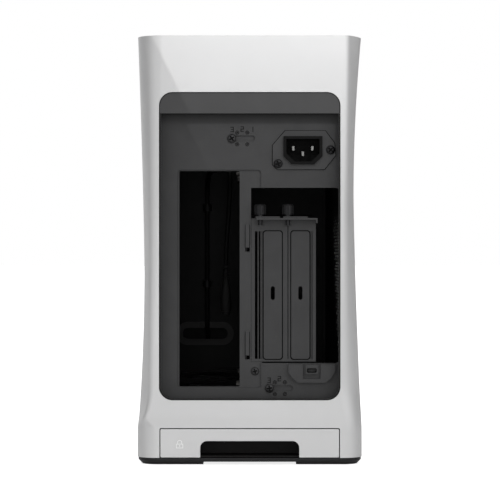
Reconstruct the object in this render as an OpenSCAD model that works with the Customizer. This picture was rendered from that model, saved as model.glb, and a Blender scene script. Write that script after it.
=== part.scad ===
// Small upright computer case: a one-piece shell lifts off a chassis that stands on a base ring.
// Origin: centre of the footprint on the floor. +X to the right seen from the rear, rear face at -Y, +Z up.

/* [Case] */
// Width of the case at its head and foot
case_w = 165; // [158:1:176]
// Depth from rear face to front face
case_d = 366; // [356:1:390]
// Height over all
case_h = 314; // [308:1:330]
// Height of the black base ring
base_h = 5.2; // [4.6:0.1:6.5]
// Height of the straight band round the foot of the shell
band_h = 27; // [26.9:0.1:32]

/* [Shell] */
// Wall thickness of the shell
shell_wall = 2.8; // [2:0.1:3.2]
// How far the left wall draws in at its waist
left_waist = 4.5; // [1:0.1:5]
// How far the right wall draws in at its waist
right_waist = 5.6; // [1:0.1:6]
// Height of the left waist
left_waist_z = 142; // [110:1:200]
// Height of the right waist
right_waist_z = 198; // [150:1:230]
// Corner radius of the foot band
band_r = 14; // [10:0.5:18]
// Corner radius where the body is soft
soft_r = 19; // [12:0.5:22]
// Inset of the left crease over the foot band, from the widest side
left_crease_low = 9.5; // [5:0.1:10.5]
// Inset of the left crease at the head
left_crease_high = 3.1; // [2:0.1:5]
// Inset of the right crease over the foot band
right_crease_low = 5.5; // [4:0.1:7]
// Inset of the right crease at the head
right_crease_high = 10.5; // [7:0.1:11]
// Small fillet along the creases
crease_fillet = 3; // [1:0.1:3.5]
// Depth over which the side flares out behind the crease
flare_d = 25; // [15:1:30]
// Height of the shoulder above the foot band
shoulder_h = 33; // [20:1:40]

/* [Rear opening] */
// Clearance between the rear opening's edge and the side of the chassis
opening_side = 2.1; // [1:0.1:8]
// Lower edge of the rear opening
opening_z0 = 47.8; // [44:0.2:52]
// Upper edge of the rear opening
opening_z1 = 272.5; // [262:0.5:280]
// Corner radius of the rear opening
opening_r = 9.5; // [5:0.5:14]
// Height of the flush dark band inside the opening
band_bar_h = 15.5; // [8:0.5:20]
// Height of the bezel flanges behind the shell wall, above and below the opening
bezel_flange = 3; // [1:0.1:4]

/* [Side perforation] */
// Holes along the depth
perf_cols = 9; // [2:1:9]
// Holes along the height
perf_rows = 13; // [2:1:13]
// Distance between holes
perf_pitch = 10.5; // [8:0.5:11]
// Size of a hole
perf_hole = 5; // [2:0.5:6]
// Height of the middle of the pattern
perf_z = 125; // [115:1:170]

/* [Drawer] */
// Clearance between the drawer front's edge and the side of the chassis
drawer_side = 2.8; // [2.7:0.1:7]
// Height of the drawer front
drawer_h = 20.7; // [18:0.1:21]
// Width of the pull recess
pull_w = 72.4; // [50:0.5:90]
// Height of the pull recess
pull_h = 12; // [9:0.1:14]
// Corner radius of the pull recess
pull_r = 5; // [2:0.5:6]
// Depth of the pull recess
pull_d = 22; // [14:1:30]
// Clearance between the drawer frame and the front plate
drawer_room = 29.7; // [26:0.1:70]
// Thickness of the drawer front
front_t = 1.6; // [1.2:0.1:2.4]

/* [Sheet metal] */
// Thickness of the chassis sheet
sheet_t = 1.2; // [1:0.1:1.4]
// Clearance between the side of the chassis and the widest side of the shell
chassis_side = 14.5; // [14:0.1:14.7]
// Setback of the rear frame plate from the rear face
frame_back = 12; // [11.6:0.1:14]
// Setback of the front plate from the front face
front_back = 12.5; // [12.2:0.1:15]
// Height of the deck's top face
deck_z = 25; // [24.8:0.1:26]
// Height of the top frame's top face
top_z = 298; // [296:0.5:300]
// Width of the top frame's margin
top_margin = 14; // [9:0.5:20]

/* [Spine] */
// Travel of the spine from its rest position
spine_travel = 15; // [6:0.5:15]
// Face of the spine wall on the board side
spine_x = -3.6; // [-4.2:0.1:-3.2]
// Top edge of the spine wall
spine_top = 218; // [205:1:220]
// Clearance between the spine wall and the front plate
spine_room = 19.6; // [8:0.1:38]
// Height of the board aperture
aperture_h = 158.75; // [150:0.25:160]
// Width of the board aperture
aperture_w = 44.45; // [40:0.05:46]
// Middle of the board aperture above the floor
board_z = 136; // [135:0.2:137]
// Clearance between sheets that slide on each other
slide_gap = 0.3; // [0.2:0.05:0.4]

/* [Board standoffs] */
// Distance between standoffs along the height
board_hole_z = 157.48; // [150:0.02:158]
// Distance between standoffs along the depth
board_hole_y = 154.94; // [145:0.02:156]
// Length of a standoff
standoff_l = 6.35; // [5:0.05:8]
// Thread core radius of a standoff
standoff_hole_r = 1.4; // [1:0.05:1.8]

/* [Expansion slots] */
// Distance between the two slot covers
slot_pitch = 20.32; // [20:0.02:21]
// Middle of the first slot cover
slot_x = 17; // [16.6:0.1:17.4]
// Width of a slot cover
cover_w = 15; // [13:0.1:15.6]
// Lower end of the slot covers
cover_z0 = 77; // [76.2:0.1:80]
// Height of the flange that the covers hang from
flange_z = 180.6; // [178:0.2:184]
// Reach of the flange towards the rear
flange_reach = 8.8; // [8.2:0.1:9.2]
// Diameter of a thumbscrew head
thumb_d = 8.5; // [7:0.1:9]
// Height of a thumbscrew head
thumb_h = 8.8; // [5:0.1:10]
// Radius of a thumbscrew shank
thumb_r = 1.75; // [1.4:0.05:2]
// Radial running clearance of the screws and rotors
run_gap = 0.06; // [0.03:0.01:0.09]

/* [Fans] */
// Width of a fan frame
fan_w = 120; // [112:1:120]
// Height of a fan frame
fan_h = 25; // [22:0.5:25.5]
// Distance of each fan from the middle
fan_y = 60.5; // [60.2:0.1:63]
// Diameter of the air way
fan_bore = 116; // [100:1:116]
// Distance between the fan screws
fan_pitch = 105; // [96:0.5:105]
// Diameter of the rotor hub
hub_d = 40; // [30:1:46]
// Number of blades
blades = 7; // [5:1:9]

/* [Mains inlet] */
// Middle of the inlet across the case
inlet_x = 39.1; // [38.4:0.1:39.6]
// Middle of the inlet above the floor
inlet_z = 230.5; // [229:0.5:234]
// Width of the inlet's rim
inlet_w = 28.6; // [26:0.1:28.8]
// Height of the inlet's rim
inlet_h = 20.6; // [18:0.1:21]

/* [Power supply bracket] */
// Distance between the bracket's holes across the case
psu_hole_x = 113; // [104:0.5:114]
// Distance between the bracket's holes along the height
psu_hole_z = 51.5; // [46:0.5:52]
// Rear face of the bracket
psu_y = 56.8; // [52:0.2:60]
// Height of the cable shelf
shelf_z = 226; // [224.5:0.1:227]

/* [Front lead] */
// Diameter of the lead
lead_d = 4; // [3:0.1:4]
// Width of its plug
plug_w = 9.6; // [8:0.1:11]
// Length of its plug
plug_l = 33; // [25:0.5:36]

/* [Hidden] */
$fn = 48;

// Small clearances
seat = 0.2;
fit_gap = 0.35;
eps = 1;

// Main planes
half_w = case_w / 2;
half_d = case_d / 2;
rear_y = -half_d;
chassis_x = half_w - chassis_side;
frame_y = rear_y + frame_back;
frame_in = frame_y + sheet_t;
front_y = half_d - front_back;
front_in = front_y - sheet_t;
spine_y = frame_in + slide_gap;
spine_in = spine_y + sheet_t;
deck_under = deck_z - sheet_t;
shell_z0 = base_h + seat;
opening_x = chassis_x - opening_side;
drawer_w = 2 * (chassis_x - drawer_side);
wall_in_y = rear_y + shell_wall;

// Shell outline
corner_steps = 8;
fillet_steps = 3;
shoulder_steps = [0, 0.06, 0.13, 0.22, 0.34, 0.52, 0.75, 1];
body_steps = 14;
waist_soft = 1.4;
waist_firm = 1.9;
crease_power = 2.6;
shoulder_blend = 0.25;

// Windows of the rear frame
window_x0 = -53.3;
window_x1 = 8.4;
window_z0 = 55.7;
window_z1 = 216.3;
chamber_x0 = 1;
chamber_z0 = 74;
chamber_z1 = 203;
strip_w = 2;

// Spine details
spine_left = -chassis_x + sheet_t + 2 * seat;
spine_right = window_x1 + 0.8;
spine_z0 = 47;
spine_z1 = 250;
aperture_x1 = spine_x - 3.8;
ear_x = 34;
ear_z1 = 62;
clamp_top = [-13.2, 239.3];
clamp_low = [14.5, 55.5];
clamp_slot_r = 2.2;
clamp_shank_r = 1.9;
clamp_head_r = 3.3;
clamp_head_h = 1.8;
dot_r = 0.8;
dot_pitch = 7.45;
dot_rise = 4.3;
bridge_x = [-3.5, 0.1];
bridge_z = [[156, 175.9], [76.6, 97]];
bridge_t = 1.4;
bracket_x0 = chamber_x0 + seat;
bracket_x1 = 48.7;
bracket_z0 = 75;

// Front lead: the points that it follows from the port board to the plug
lead_x = -38;
lead_run_y = 154;
lead_exit = [lead_x, 176, 20];
lead_points = [[-38, 176, 20], [-38, 176, 30], [-38, 176, 44], [-38, 176, 58], [-38, 176, 70], [-38,
  175, 75.5],
  [-38, 172.5, 79.5], [-38, 168.5, 82], [-38, 164, 83], [-38, 159.5, 84], [-38, 156, 87], [-38, 154.2, 92],
  [-38, 154, 98], [-38, 154, 112], [-38, 154, 130], [-38, 154, 150], [-38, 154, 170], [-38, 154, 190],
  [-38, 154, 204], [-37.8, 152.5, 212], [-37.2, 148, 219], [-36, 141, 224], [-34, 131, 226.5],
  [-31.6, 118, 226.6], [-28.8, 103, 226.2], [-26, 88, 226.4], [-23.2, 73, 227.4], [-20.6, 57, 228.3],
  [-18.6, 42, 228.3], [-17.2, 29, 228.3], [-16.6, 19, 227.5], [-16.3, 10, 223.8], [-16.2, 3.6, 217.5],
  [-16.3, 0.8, 209], [-16.8, 0, 198], [-17.6, 0, 184], [-18.6, 0, 170], [-19.4, 0, 157], [-19.7, 0, 145]];
lead_sides = 8;
plug_top = 137;
relief_l = 8;

silver = [0.74, 0.74, 0.74];
black = [0.05, 0.05, 0.055];
dark = [0.12, 0.12, 0.125];
grey = [0.3, 0.3, 0.31];
metal = [0.6, 0.6, 0.6];

function lerp(a, b, t) = a + (b - a) * t;
function clamp01(t) = max(0, min(1, t));
function smooth(t) = let(u = clamp01(t)) u * u * (3 - 2 * u);

// Half width of the body at height z, for a wall whose waist lies at height w
function half_width(z, depth, w, below, above) = z < band_h ? half_w
  : z < w ? half_w - depth * (1 - pow((w - z) / (w - band_h), below))
  : half_w - depth * (1 - pow(clamp01((z - w) / (case_h - w)), above));
function left_width(z) = half_width(z, left_waist, left_waist_z, waist_firm, waist_soft);
function right_width(z) = half_width(z, right_waist, right_waist_z, waist_soft, waist_firm);

// How far up the body a height lies, from the shoulder to the head
function rise(z) = clamp01((z - band_h - shoulder_h) / (case_h - band_h - shoulder_h));

// Left crease: it leaves the foot band, draws in over the shoulder and runs out towards the head
function left_crease(z) = half_w - (z < band_h + shoulder_h
  ? lerp(left_crease_low, 0.5, pow(1 - clamp01((z - band_h) / shoulder_h), crease_power))
  : lerp(left_crease_low, left_crease_high, rise(z)));
function left_crisp(z) = z < band_h + shoulder_h ? smooth((z - band_h) / (shoulder_h * shoulder_blend)) : 1 - rise(z);

// Right crease: soft over the foot band, crisp and drawn in at the head
function right_crease(z) = half_w - lerp(right_crease_high, right_crease_low, pow(1 - rise(z), 1.3));
function right_crisp(z) = pow(rise(z), 0.8);
function soft_radius(z) = lerp(band_r, soft_r, smooth((z - band_h) / shoulder_h));

// One corner from the end face round to the side, in the quarter plane where both are positive
function soft_point(w, d, r, t) = [w - r + r * sin(90 * t), d - r + r * cos(90 * t)];
function flare_point(w, d, c, u) = [c + (w - c) * sin(90 * u), d - flare_d * u];
function crisp_point(w, d, c, f, i) = i <= fillet_steps
  ? let(u = i / fillet_steps, e = flare_point(w, d, c, f / flare_d))
    (1 - u) * (1 - u) * [c - f, d] + 2 * u * (1 - u) * [c, d] + u * u * e
  : flare_point(w, d, c, lerp(f / flare_d, 1, (i - fillet_steps) / (corner_steps - fillet_steps)));
function corner(w, d, c, r, s, off) = [for (i = [0 : corner_steps])
  (1 - s) * soft_point(w - off, d - off, r - off, i / corner_steps)
  + s * crisp_point(w - off, d - off, c - off, crease_fillet, i)];
function flip(points) = [for (i = [len(points) - 1 : -1 : 0]) points[i]];
function right_corner(z, off) = corner(right_width(z), half_d, right_crease(z), soft_radius(z),
  right_crisp(z), off);
function left_corner(z, off) = corner(left_width(z), half_d, left_crease(z), soft_radius(z),
  left_crisp(z), off);
function shell_ring(z, off) = let(r = right_corner(z, off), l = left_corner(z, off)) concat(
  [for (p = r) [p[0], p[1], z]],
  [for (p = flip(r)) [p[0], -p[1], z]],
  [for (p = l) [-p[0], -p[1], z]],
  [for (p = flip(l)) [-p[0], p[1], z]]);

shell_levels = concat([shell_z0],
  [for (s = shoulder_steps) band_h + s * shoulder_h],
  [for (i = [1 : body_steps]) lerp(band_h + shoulder_h, case_h, i / body_steps)]);

// Closed skin through a stack of rings of equal length
module loft(rings) {
  n = len(rings[0]);
  last = len(rings) - 1;
  sides = [for (k = [0 : last - 1]) for (i = [0 : n - 1])
    let(a = k * n + i, b = k * n + (i + 1) % n) each [[a, a + n, b], [b, a + n, b + n]]];
  polyhedron([for (r = rings) each r],
    concat(sides, [[for (i = [0 : n - 1]) i]], [[for (i = [n - 1 : -1 : 0]) last * n + i]]));
}

// Closed skin of a hollow wall: its rings run up the outside and down the inside
module closed_loft(rings) {
  n = len(rings[0]);
  total = len(rings);
  polyhedron([for (r = rings) each r], [for (k = [0 : total - 1]) for (i = [0 : n - 1])
    let(j = (i + 1) % n, m = (k + 1) % total) each [[k * n + i, m * n + i, k * n + j], [k * n + j,
      m * n + i, m * n + j]]]);
}

// A block from its lowest to its highest corner
module block(lo, hi) {
  translate(lo) cube(hi - lo);
}

// A flat outline in X and Z, given as a child, made t thick from y towards the front
module sheet_xz(y, t) {
  translate([0, y + t, 0]) rotate([90, 0, 0]) linear_extrude(t) children();
}

// A rectangle with round corners, from its lowest to its highest corner
module round_rect(lo, hi, r) {
  translate([lo[0] + r, lo[1]]) square([hi[0] - lo[0] - 2 * r, hi[1] - lo[1]]);
  translate([lo[0], lo[1] + r]) square([hi[0] - lo[0], hi[1] - lo[1] - 2 * r]);
  for (x = [lo[0] + r, hi[0] - r]) for (y = [lo[1] + r, hi[1] - r]) translate([x, y]) circle(r);
}

module capsule(x0, x1, y, r) {
  translate([x0, y - r]) square([x1 - x0, 2 * r]);
  for (x = [x0, x1]) translate([x, y]) circle(r);
}

// A round bar along Y
module bar_y(x, z, y0, y1, r) {
  translate([x, y1, z]) rotate([90, 0, 0]) cylinder(h = y1 - y0, r = r);
}

// A round bar along X
module bar_x(y, z, x0, x1, r) {
  translate([x0, y, z]) rotate([0, 90, 0]) cylinder(h = x1 - x0, r = r);
}

module at_corners(dx, dy) {
  for (sx = [-1, 1]) for (sy = [-1, 1]) translate([sx * dx, sy * dy, 0]) children();
}

lid_t = 3;
lid_z0 = case_h - 0.6 - lid_t;
lid_inset = shell_wall + fit_gap;
ledge_t = 1.6;
ledge_z1 = lid_z0 - seat;
ledge_w = 12;
cutout_w = drawer_w + 0.8;
cutout_z1 = shell_z0 + drawer_h + 0.6;

module outer_shell() color(silver) difference() {
  closed_loft(concat([for (z = shell_levels) shell_ring(z, 0)],
    [for (z = flip(shell_levels)) shell_ring(z, shell_wall)]));
  sheet_xz(rear_y - eps, shell_wall + 2 * eps)
    round_rect([-opening_x, opening_z0], [opening_x, opening_z1], opening_r);
  for (y = [rear_y - eps, half_d - shell_wall - eps])
    block([-cutout_w / 2, y, shell_z0 - eps], [cutout_w / 2, y + shell_wall + 2 * eps, cutout_z1]);
  for (i = [0 : perf_cols - 1]) for (j = [0 : perf_rows - 1])
    translate([0, (i - (perf_cols - 1) / 2) * perf_pitch, perf_z + (j - (perf_rows - 1) / 2) * perf_pitch])
      rotate([0, 90, 0]) cylinder(h = case_w + 2 * eps, d = perf_hole, center = true, $fn = 4);
}

bezel_lip = 0.8;
bezel_y0 = rear_y + 0.4;
bezel_flange_t = 0.8;
bezel_flange_y1 = wall_in_y + 2 * seat + bezel_flange_t;
module rear_bezel() color(dark) {
  x = opening_x - seat;
  z0 = opening_z0 + seat;
  z1 = opening_z1 - seat;
  difference() {
    union() {
      sheet_xz(bezel_y0, bezel_flange_y1 - bezel_y0) round_rect([-x, z0], [x, z1], opening_r - seat);
      sheet_xz(wall_in_y + 2 * seat, bezel_flange_t)
        translate([-x + opening_r, z0 - bezel_flange])
          square([2 * (x - opening_r), z1 - z0 + 2 * bezel_flange]);
    }
    sheet_xz(bezel_y0 - eps, frame_back)
      round_rect([-x + bezel_lip, z0 + bezel_lip], [x - bezel_lip, z1 - bezel_lip],
        opening_r - seat - bezel_lip);
  }
  intersection() {
    sheet_xz(bezel_y0, front_t) round_rect([-x, z0], [x, z1], opening_r - seat);
    block([-x, bezel_y0, opening_z1 - band_bar_h], [x, bezel_y0 + front_t, opening_z1]);
  }
}

module shell_plan(off, z) {
  polygon([for (p = shell_ring(z, off)) [p[0], p[1]]]);
}

module lid_ledge() color(dark) translate([0, 0, ledge_z1 - ledge_t]) difference() {
  linear_extrude(ledge_t) intersection() {
    shell_plan(shell_wall + seat, ledge_z1 - ledge_t);
    shell_plan(shell_wall + seat, case_h);
  }
  translate([0, 0, -eps]) linear_extrude(ledge_t + 2 * eps) shell_plan(shell_wall + ledge_w, case_h);
  at_corners(half_w - shell_wall - 9, half_d - shell_wall - 30) translate([0, 0,
    -eps]) cylinder(h = ledge_t + 2 * eps, r = 2);
}

lid_slots = 18;
lid_slot_pitch = 16;
lid_slot_w = 6;
lid_slot_l = 90;
module top_lid() color(dark) translate([0, 0, lid_z0]) difference() {
  linear_extrude(lid_t) intersection() {
    shell_plan(lid_inset, lid_z0);
    shell_plan(lid_inset, case_h);
  }
  for (i = [0 : lid_slots - 1]) translate([0, (i - (lid_slots - 1) / 2) * lid_slot_pitch, -eps])
    linear_extrude(lid_t + 2 * eps) capsule(-lid_slot_l / 2, lid_slot_l / 2, 0, lid_slot_w / 2);
}

module lid_studs() color(grey)
  at_corners(half_w - shell_wall - 9, half_d - shell_wall - 30) {
    translate([0, 0, lid_z0 - 6]) cylinder(h = 6, r = 1.6);
  }

base_r = band_r - 0.5;
base_inset = 0.6;
base_edge = 3;
base_window = [112, 296];
lobe_z = 0.4;
rise_z = 2.4;
rise_x = 34;
module base_ring() color(black) difference() {
  hull() {
    translate([0, 0, lobe_z + base_edge]) linear_extrude(base_h - lobe_z - base_edge)
      round_rect([-half_w + base_inset, -half_d + base_inset], [half_w - base_inset,
        half_d - base_inset], base_r);
    translate([0, 0, lobe_z]) linear_extrude(0.5)
      round_rect([-half_w + base_inset + base_edge, -half_d + base_inset + base_edge],
        [half_w - base_inset - base_edge, half_d - base_inset - base_edge], base_r - base_edge);
  }
  block([-base_window[0] / 2, -base_window[1] / 2, -eps], [base_window[0] / 2, base_window[1] / 2,
    base_h + eps]);
  for (s = [-1, 1]) block([-rise_x, s * half_d - 34, -eps], [rise_x, s * half_d + 34, rise_z]);
  at_corners(pad_x, pad_y) block([-pad_w / 2 - seat, -pad_l / 2 - seat, -eps], [pad_w / 2 + seat,
    pad_l / 2 + seat, pad_h + seat]);
}

pad_w = 14;
pad_l = 60;
pad_h = 1.6;
pad_x = half_w - 14;
pad_y = half_d - 62;
module foot_pads() color(black) at_corners(pad_x, pad_y)
  block([-pad_w / 2, -pad_l / 2, 0], [pad_w / 2, pad_l / 2, pad_h]);

module deck() color(dark) difference() {
  block([-chassis_x, frame_y, deck_under], [chassis_x, front_y, deck_z]);
  for (s = [-1, 1]) translate([0, s * fan_y, deck_under - eps]) {
    cylinder(h = sheet_t + 2 * eps, d = fan_bore - 4);
    at_corners(fan_pitch / 2, fan_pitch / 2) cylinder(h = sheet_t + 2 * eps, r = fan_screw_r + 0.3);
  }
}

drawer_frame_y0 = rear_y + front_t + seat;
drawer_l = front_y - drawer_room - drawer_frame_y0;
module deck_sides() color(dark) for (s = [-1, 1])
  block([s > 0 ? chassis_x - sheet_t : -chassis_x, frame_y, base_h],
    [s > 0 ? chassis_x : -chassis_x + sheet_t, front_y, deck_under - seat]);

rail_z0 = base_h + 0.9;
rail_t = 1.6;
rail_side = 4;
rail_w = 7;
module drawer_rails() color(black) for (s = [-1, 1]) {
  x1 = chassis_x - sheet_t - seat;
  difference() {
    block([s > 0 ? x1 - rail_w : -x1, frame_y + 4, rail_z0], [s > 0 ? x1 : -x1 + rail_w,
      frame_y + 4 + drawer_l, rail_z0 + 5]);
    block([s > 0 ? x1 - rail_w - eps : -x1 + rail_side, frame_y, rail_z0 + rail_t],
      [s > 0 ? x1 - rail_side : -x1 + rail_w + eps, front_y, rail_z0 + 10]);
  }
}

grommet = [[-60.5, 77], [-19.9, 87]];
grommet_rim = 5.4;
module front_plate() color(dark) difference() {
  union() {
    block([-chassis_x, front_in, deck_z + seat], [chassis_x, front_y, top_z]);
    for (s = [-1, 1]) block([s > 0 ? chassis_x - sheet_t : -chassis_x, front_in - 10, deck_z + seat],
      [s > 0 ? chassis_x : -chassis_x + sheet_t, front_y, top_z - sheet_t - seat]);
  }
  sheet_xz(front_in - eps, sheet_t + 2 * eps)
    round_rect([grommet[0][0] - 1.6, grommet[0][1] - 1.6], [grommet[1][0] + 1.6, grommet[1][1] + 1.6], 6.4);
  sheet_xz(front_in - eps, sheet_t + 2 * eps) for (i = [0 : 7])
    capsule(10, 56, 60 + i * 18, 3);
}

module cable_grommet() color(black) difference() {
  union() {
    sheet_xz(front_in - seat - 2.4, 2.4) round_rect([grommet[0][0] - grommet_rim,
      grommet[0][1] - grommet_rim],
      [grommet[1][0] + grommet_rim, grommet[1][1] + grommet_rim], 10);
    sheet_xz(front_in - 1, sheet_t + 2) round_rect([grommet[0][0] - 1.4, grommet[0][1] - 1.4],
      [grommet[1][0] + 1.4, grommet[1][1] + 1.4], 6.2);
  }
  sheet_xz(front_in - 6, 12) round_rect(grommet[0], grommet[1], 4.8);
}

module clamp_slot(at) {
  capsule(at[0], at[0] + spine_travel, at[1], clamp_slot_r);
}

module dots(at) {
  for (i = [0, 1]) for (s = [-1, 1])
    translate([at[0] + (i + 0.53) * dot_pitch, at[1] + s * dot_rise]) circle(dot_r);
}

module rear_frame() color(dark) difference() {
  union() {
    block([-chassis_x, frame_y, deck_z + seat], [chassis_x, frame_in, top_z]);
    for (s = [-1, 1]) block([s > 0 ? chassis_x - sheet_t : -chassis_x, frame_y, deck_z + seat],
      [s > 0 ? chassis_x : -chassis_x + sheet_t, frame_in + 10, top_z - sheet_t - seat]);
  }
  sheet_xz(frame_y - eps, sheet_t + 2 * eps) {
    round_rect([window_x0, window_z0], [window_x1, window_z1], 2.4);
    round_rect([chamber_x0, chamber_z0], [chassis_x - strip_w, chamber_z1], 3);
    clamp_slot(clamp_top);
    clamp_slot(clamp_low);
    dots(clamp_top);
    dots(clamp_low);
    inlet_outline(body_w + 0.8, body_h + 0.8);
    for (p = inlet_screw_at) translate(p) circle(inlet_screw_r + 0.3);
    for (p = frame_screw_at) translate(p) circle(frame_screw_r + 0.2);
  }
}

module top_frame() color(dark) difference() {
  block([-chassis_x + sheet_t + seat, frame_in + seat, top_z - sheet_t], [chassis_x - sheet_t - seat,
    front_in - seat, top_z]);
  block([-chassis_x + top_margin, frame_in + top_margin, top_z - 2 * eps - sheet_t],
    [chassis_x - top_margin, front_in - top_margin, top_z + eps]);
}

frame_screw_r = 1.5;
frame_screw_x = chassis_x - 10;
frame_screw_at = [for (z = [top_z - 8, deck_z + 9]) for (s = [-1 : 1]) [s * frame_screw_x, z]];
module frame_screws() color(grey) for (p = frame_screw_at) {
  bar_y(p[0], p[1], frame_y - seat - 1.5, frame_y - seat, 2.8);
  bar_y(p[0], p[1], frame_y - seat - 0.5, frame_in + 3, frame_screw_r);
}

fan_screw_r = 1.9;
fan_z0 = deck_z + seat;
motor_h = 4;
shaft_r = 1.5;
module fan_frame(y) color(black) translate([0, y, fan_z0]) {
  difference() {
    linear_extrude(fan_h) round_rect([-fan_w / 2, -fan_w / 2], [fan_w / 2, fan_w / 2], 5);
    translate([0, 0, -eps]) cylinder(h = fan_h + 2 * eps, d = fan_bore, $fn = 96);
    at_corners(fan_pitch / 2, fan_pitch / 2) translate([0, 0, -eps]) cylinder(h = fan_h + 2 * eps,
      r = fan_screw_r + 0.25);
    for (a = [0 : 90 : 270]) rotate(a) block([fan_w / 2 - 1.6, -38, 4], [fan_w / 2 + 1, 38, fan_h - 4]);
  }
  for (a = [45 : 90 : 315]) rotate(a) block([hub_d / 2 - 3, -2, 0], [fan_bore / 2 + 1, 2, motor_h]);
  cylinder(h = motor_h, d = hub_d - 2);
  cylinder(h = fan_h - 6, r = shaft_r);
}

module fan_screws() color(grey) for (s = [-1, 1]) translate([0, s * fan_y, 0])
  at_corners(fan_pitch / 2, fan_pitch / 2) {
    translate([0, 0, deck_under - seat - 1.8]) cylinder(h = 1.8, r = 3.6);
    translate([0, 0, deck_under - seat - 1]) cylinder(h = 13, r = fan_screw_r);
  }

blade_t = 1.6;
blade_tilt = 38;
module fan_rotor(y) color(dark) translate([0, y, fan_z0]) {
  rotor_z = motor_h + 1;
  rotor_h = fan_h - motor_h - 2;
  difference() {
    union() {
      translate([0, 0, rotor_z]) cylinder(h = rotor_h, d = hub_d);
      intersection() {
        translate([0, 0, rotor_z]) cylinder(h = rotor_h, d = fan_bore - 2.4, $fn = 96);
        for (i = [0 : blades - 1]) rotate(i * 360 / blades) translate([hub_d / 2 - 2, 0,
          rotor_z + rotor_h / 2])
          rotate([blade_tilt, 0, 0]) cube([fan_bore, blade_t, 2 * rotor_h], center = false);
      }
    }
    translate([0, 0, -eps]) cylinder(h = fan_h - 6 + eps + 0.3, r = shaft_r + run_gap);
  }
}

psu_w = 125;
psu_h = 63.5;
psu_z0 = top_z - sheet_t - 1 - psu_h;
psu_mid_z = psu_z0 + psu_h / 2;
shelf_y0 = 22;
shelf_x = [-31, -7];
module psu_bracket() color(dark) {
  difference() {
    block([-chassis_x + sheet_t + seat, psu_y, shelf_z - sheet_t], [chassis_x - sheet_t - seat,
      psu_y + sheet_t, top_z - sheet_t - seat]);
    sheet_xz(psu_y - eps, sheet_t + 2 * eps) {
      round_rect([-50, psu_z0 + 4], [50, psu_z0 + psu_h - 4], 3);
      for (sx = [-1, 1]) for (sz = [-1, 1])
        translate([sx * psu_hole_x / 2, psu_mid_z + sz * psu_hole_z / 2]) circle(1.8);
      round_rect([shelf_x[0] + 2, shelf_z], [shelf_x[1] - 2, shelf_z + 6.5], 1);
    }
  }
  difference() {
    block([shelf_x[0], shelf_y0, shelf_z - sheet_t], [shelf_x[1], psu_y + seat, shelf_z + 4]);
    block([shelf_x[0] + sheet_t, shelf_y0 - eps, shelf_z], [shelf_x[1] - sheet_t, psu_y + 2 * eps,
      shelf_z + 10]);
  }
  for (s = [-1, 1]) block([s * (chassis_x - 12) - 8, psu_y, top_z - sheet_t - seat - sheet_t],
    [s * (chassis_x - 12) + 8, psu_y + 16, top_z - sheet_t - seat]);
}

clip_z = [124, 192];
clip_r = lead_d / 2 + 0.35;
module cable_clips() color(black) for (z = clip_z) difference() {
  union() {
    translate([lead_x, lead_run_y, z]) cylinder(h = 6, r = clip_r + 1.6);
    block([lead_x - 3, lead_run_y, z], [lead_x + 3, front_in - seat, z + 6]);
  }
  translate([lead_x, lead_run_y, z - eps]) cylinder(h = 6 + 2 * eps, r = clip_r);
}

module inlet_outline(w, h) {
  cut = 6;
  translate([inlet_x, inlet_z]) polygon([[-w / 2, h / 2], [w / 2, h / 2], [w / 2, -h / 2 + cut],
    [w / 2 - cut, -h / 2],
    [-w / 2 + cut, -h / 2], [-w / 2, -h / 2 + cut]]);
}

inlet_t = 1.2;
inlet_screw_r = 1.5;
inlet_screw_at = [[inlet_x - 18.2, inlet_z - 9.8], [inlet_x + 20.4, inlet_z + 0.3]];
module inlet_plate() color(dark) difference() {
  sheet_xz(frame_y - seat - inlet_t, inlet_t) translate([inlet_x, inlet_z])
    polygon([[-22.2, 3.8], [-13, 14.4], [16.4, 14.4], [23.1, 5.6], [24.1, -3.6], [15.8, -14], [-18.6,
      -14], [-22.2, -10.4]]);
  sheet_xz(frame_y - 4, 6) {
    inlet_outline(body_w + 0.4, body_h + 0.4);
    for (p = inlet_screw_at) translate(p) circle(inlet_screw_r + 0.2);
  }
}

socket_w = 24.4;
socket_h = 16.6;
socket_d = 19;
body_w = socket_w + 2;
body_h = socket_h + 2;
body_d = 22;
rim_reach = 2.2;
rim_y = frame_y - 2 * seat - inlet_t - rim_reach;
module inlet_socket() color(black) difference() {
  union() {
    sheet_xz(rim_y, rim_reach) inlet_outline(inlet_w, inlet_h);
    sheet_xz(rim_y + rim_reach - 0.1, body_d) inlet_outline(body_w, body_h);
  }
  sheet_xz(rim_y - eps, socket_d + eps) inlet_outline(socket_w, socket_h);
}

pin_at = [[-7, 1.5], [7, 1.5], [0, -2.5]];
module inlet_pins() color(metal) for (p = pin_at)
  block([inlet_x + p[0] - 1, rim_y + 4, inlet_z + p[1] - 2], [inlet_x + p[0] + 1, rim_y + socket_d,
    inlet_z + p[1] + 2]);

module inlet_screws() color(grey) for (p = inlet_screw_at) {
  bar_y(p[0], p[1], frame_y - 2 * seat - inlet_t - 1.6, frame_y - 2 * seat - inlet_t, 3.3);
  bar_y(p[0], p[1], frame_y - 2 * seat - inlet_t - 0.4, frame_in, inlet_screw_r);
}

gate_x = [28.5, 62.8];
gate_z = [59.7, 73.2];
gate_t = 3;
gate_guide = [39.2, 52];
latch_travel = 2.5;
latch_w = 9;
latch_z = [66.2, 73];
module gate_housing() color(dark) difference() {
  sheet_xz(frame_y - seat - gate_t, gate_t) polygon([[gate_x[0], gate_z[1]], [gate_x[0], gate_z[1] - 5.8],
    [gate_x[0] + 2.4, gate_z[1] - 9.5], [gate_x[0] + 6.8, gate_z[0]], [gate_x[1] - 7.4, gate_z[0]],
    [gate_x[1] - 3, gate_z[0] + 3.3], [gate_x[1], gate_z[0] + 8.4], [gate_x[1], gate_z[1]]]);
  block([gate_guide[0], frame_y - seat - gate_t - eps, gate_z[0] + 2.8], [gate_guide[1],
    frame_y - seat - 0.8, gate_z[1] + eps]);
}

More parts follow.
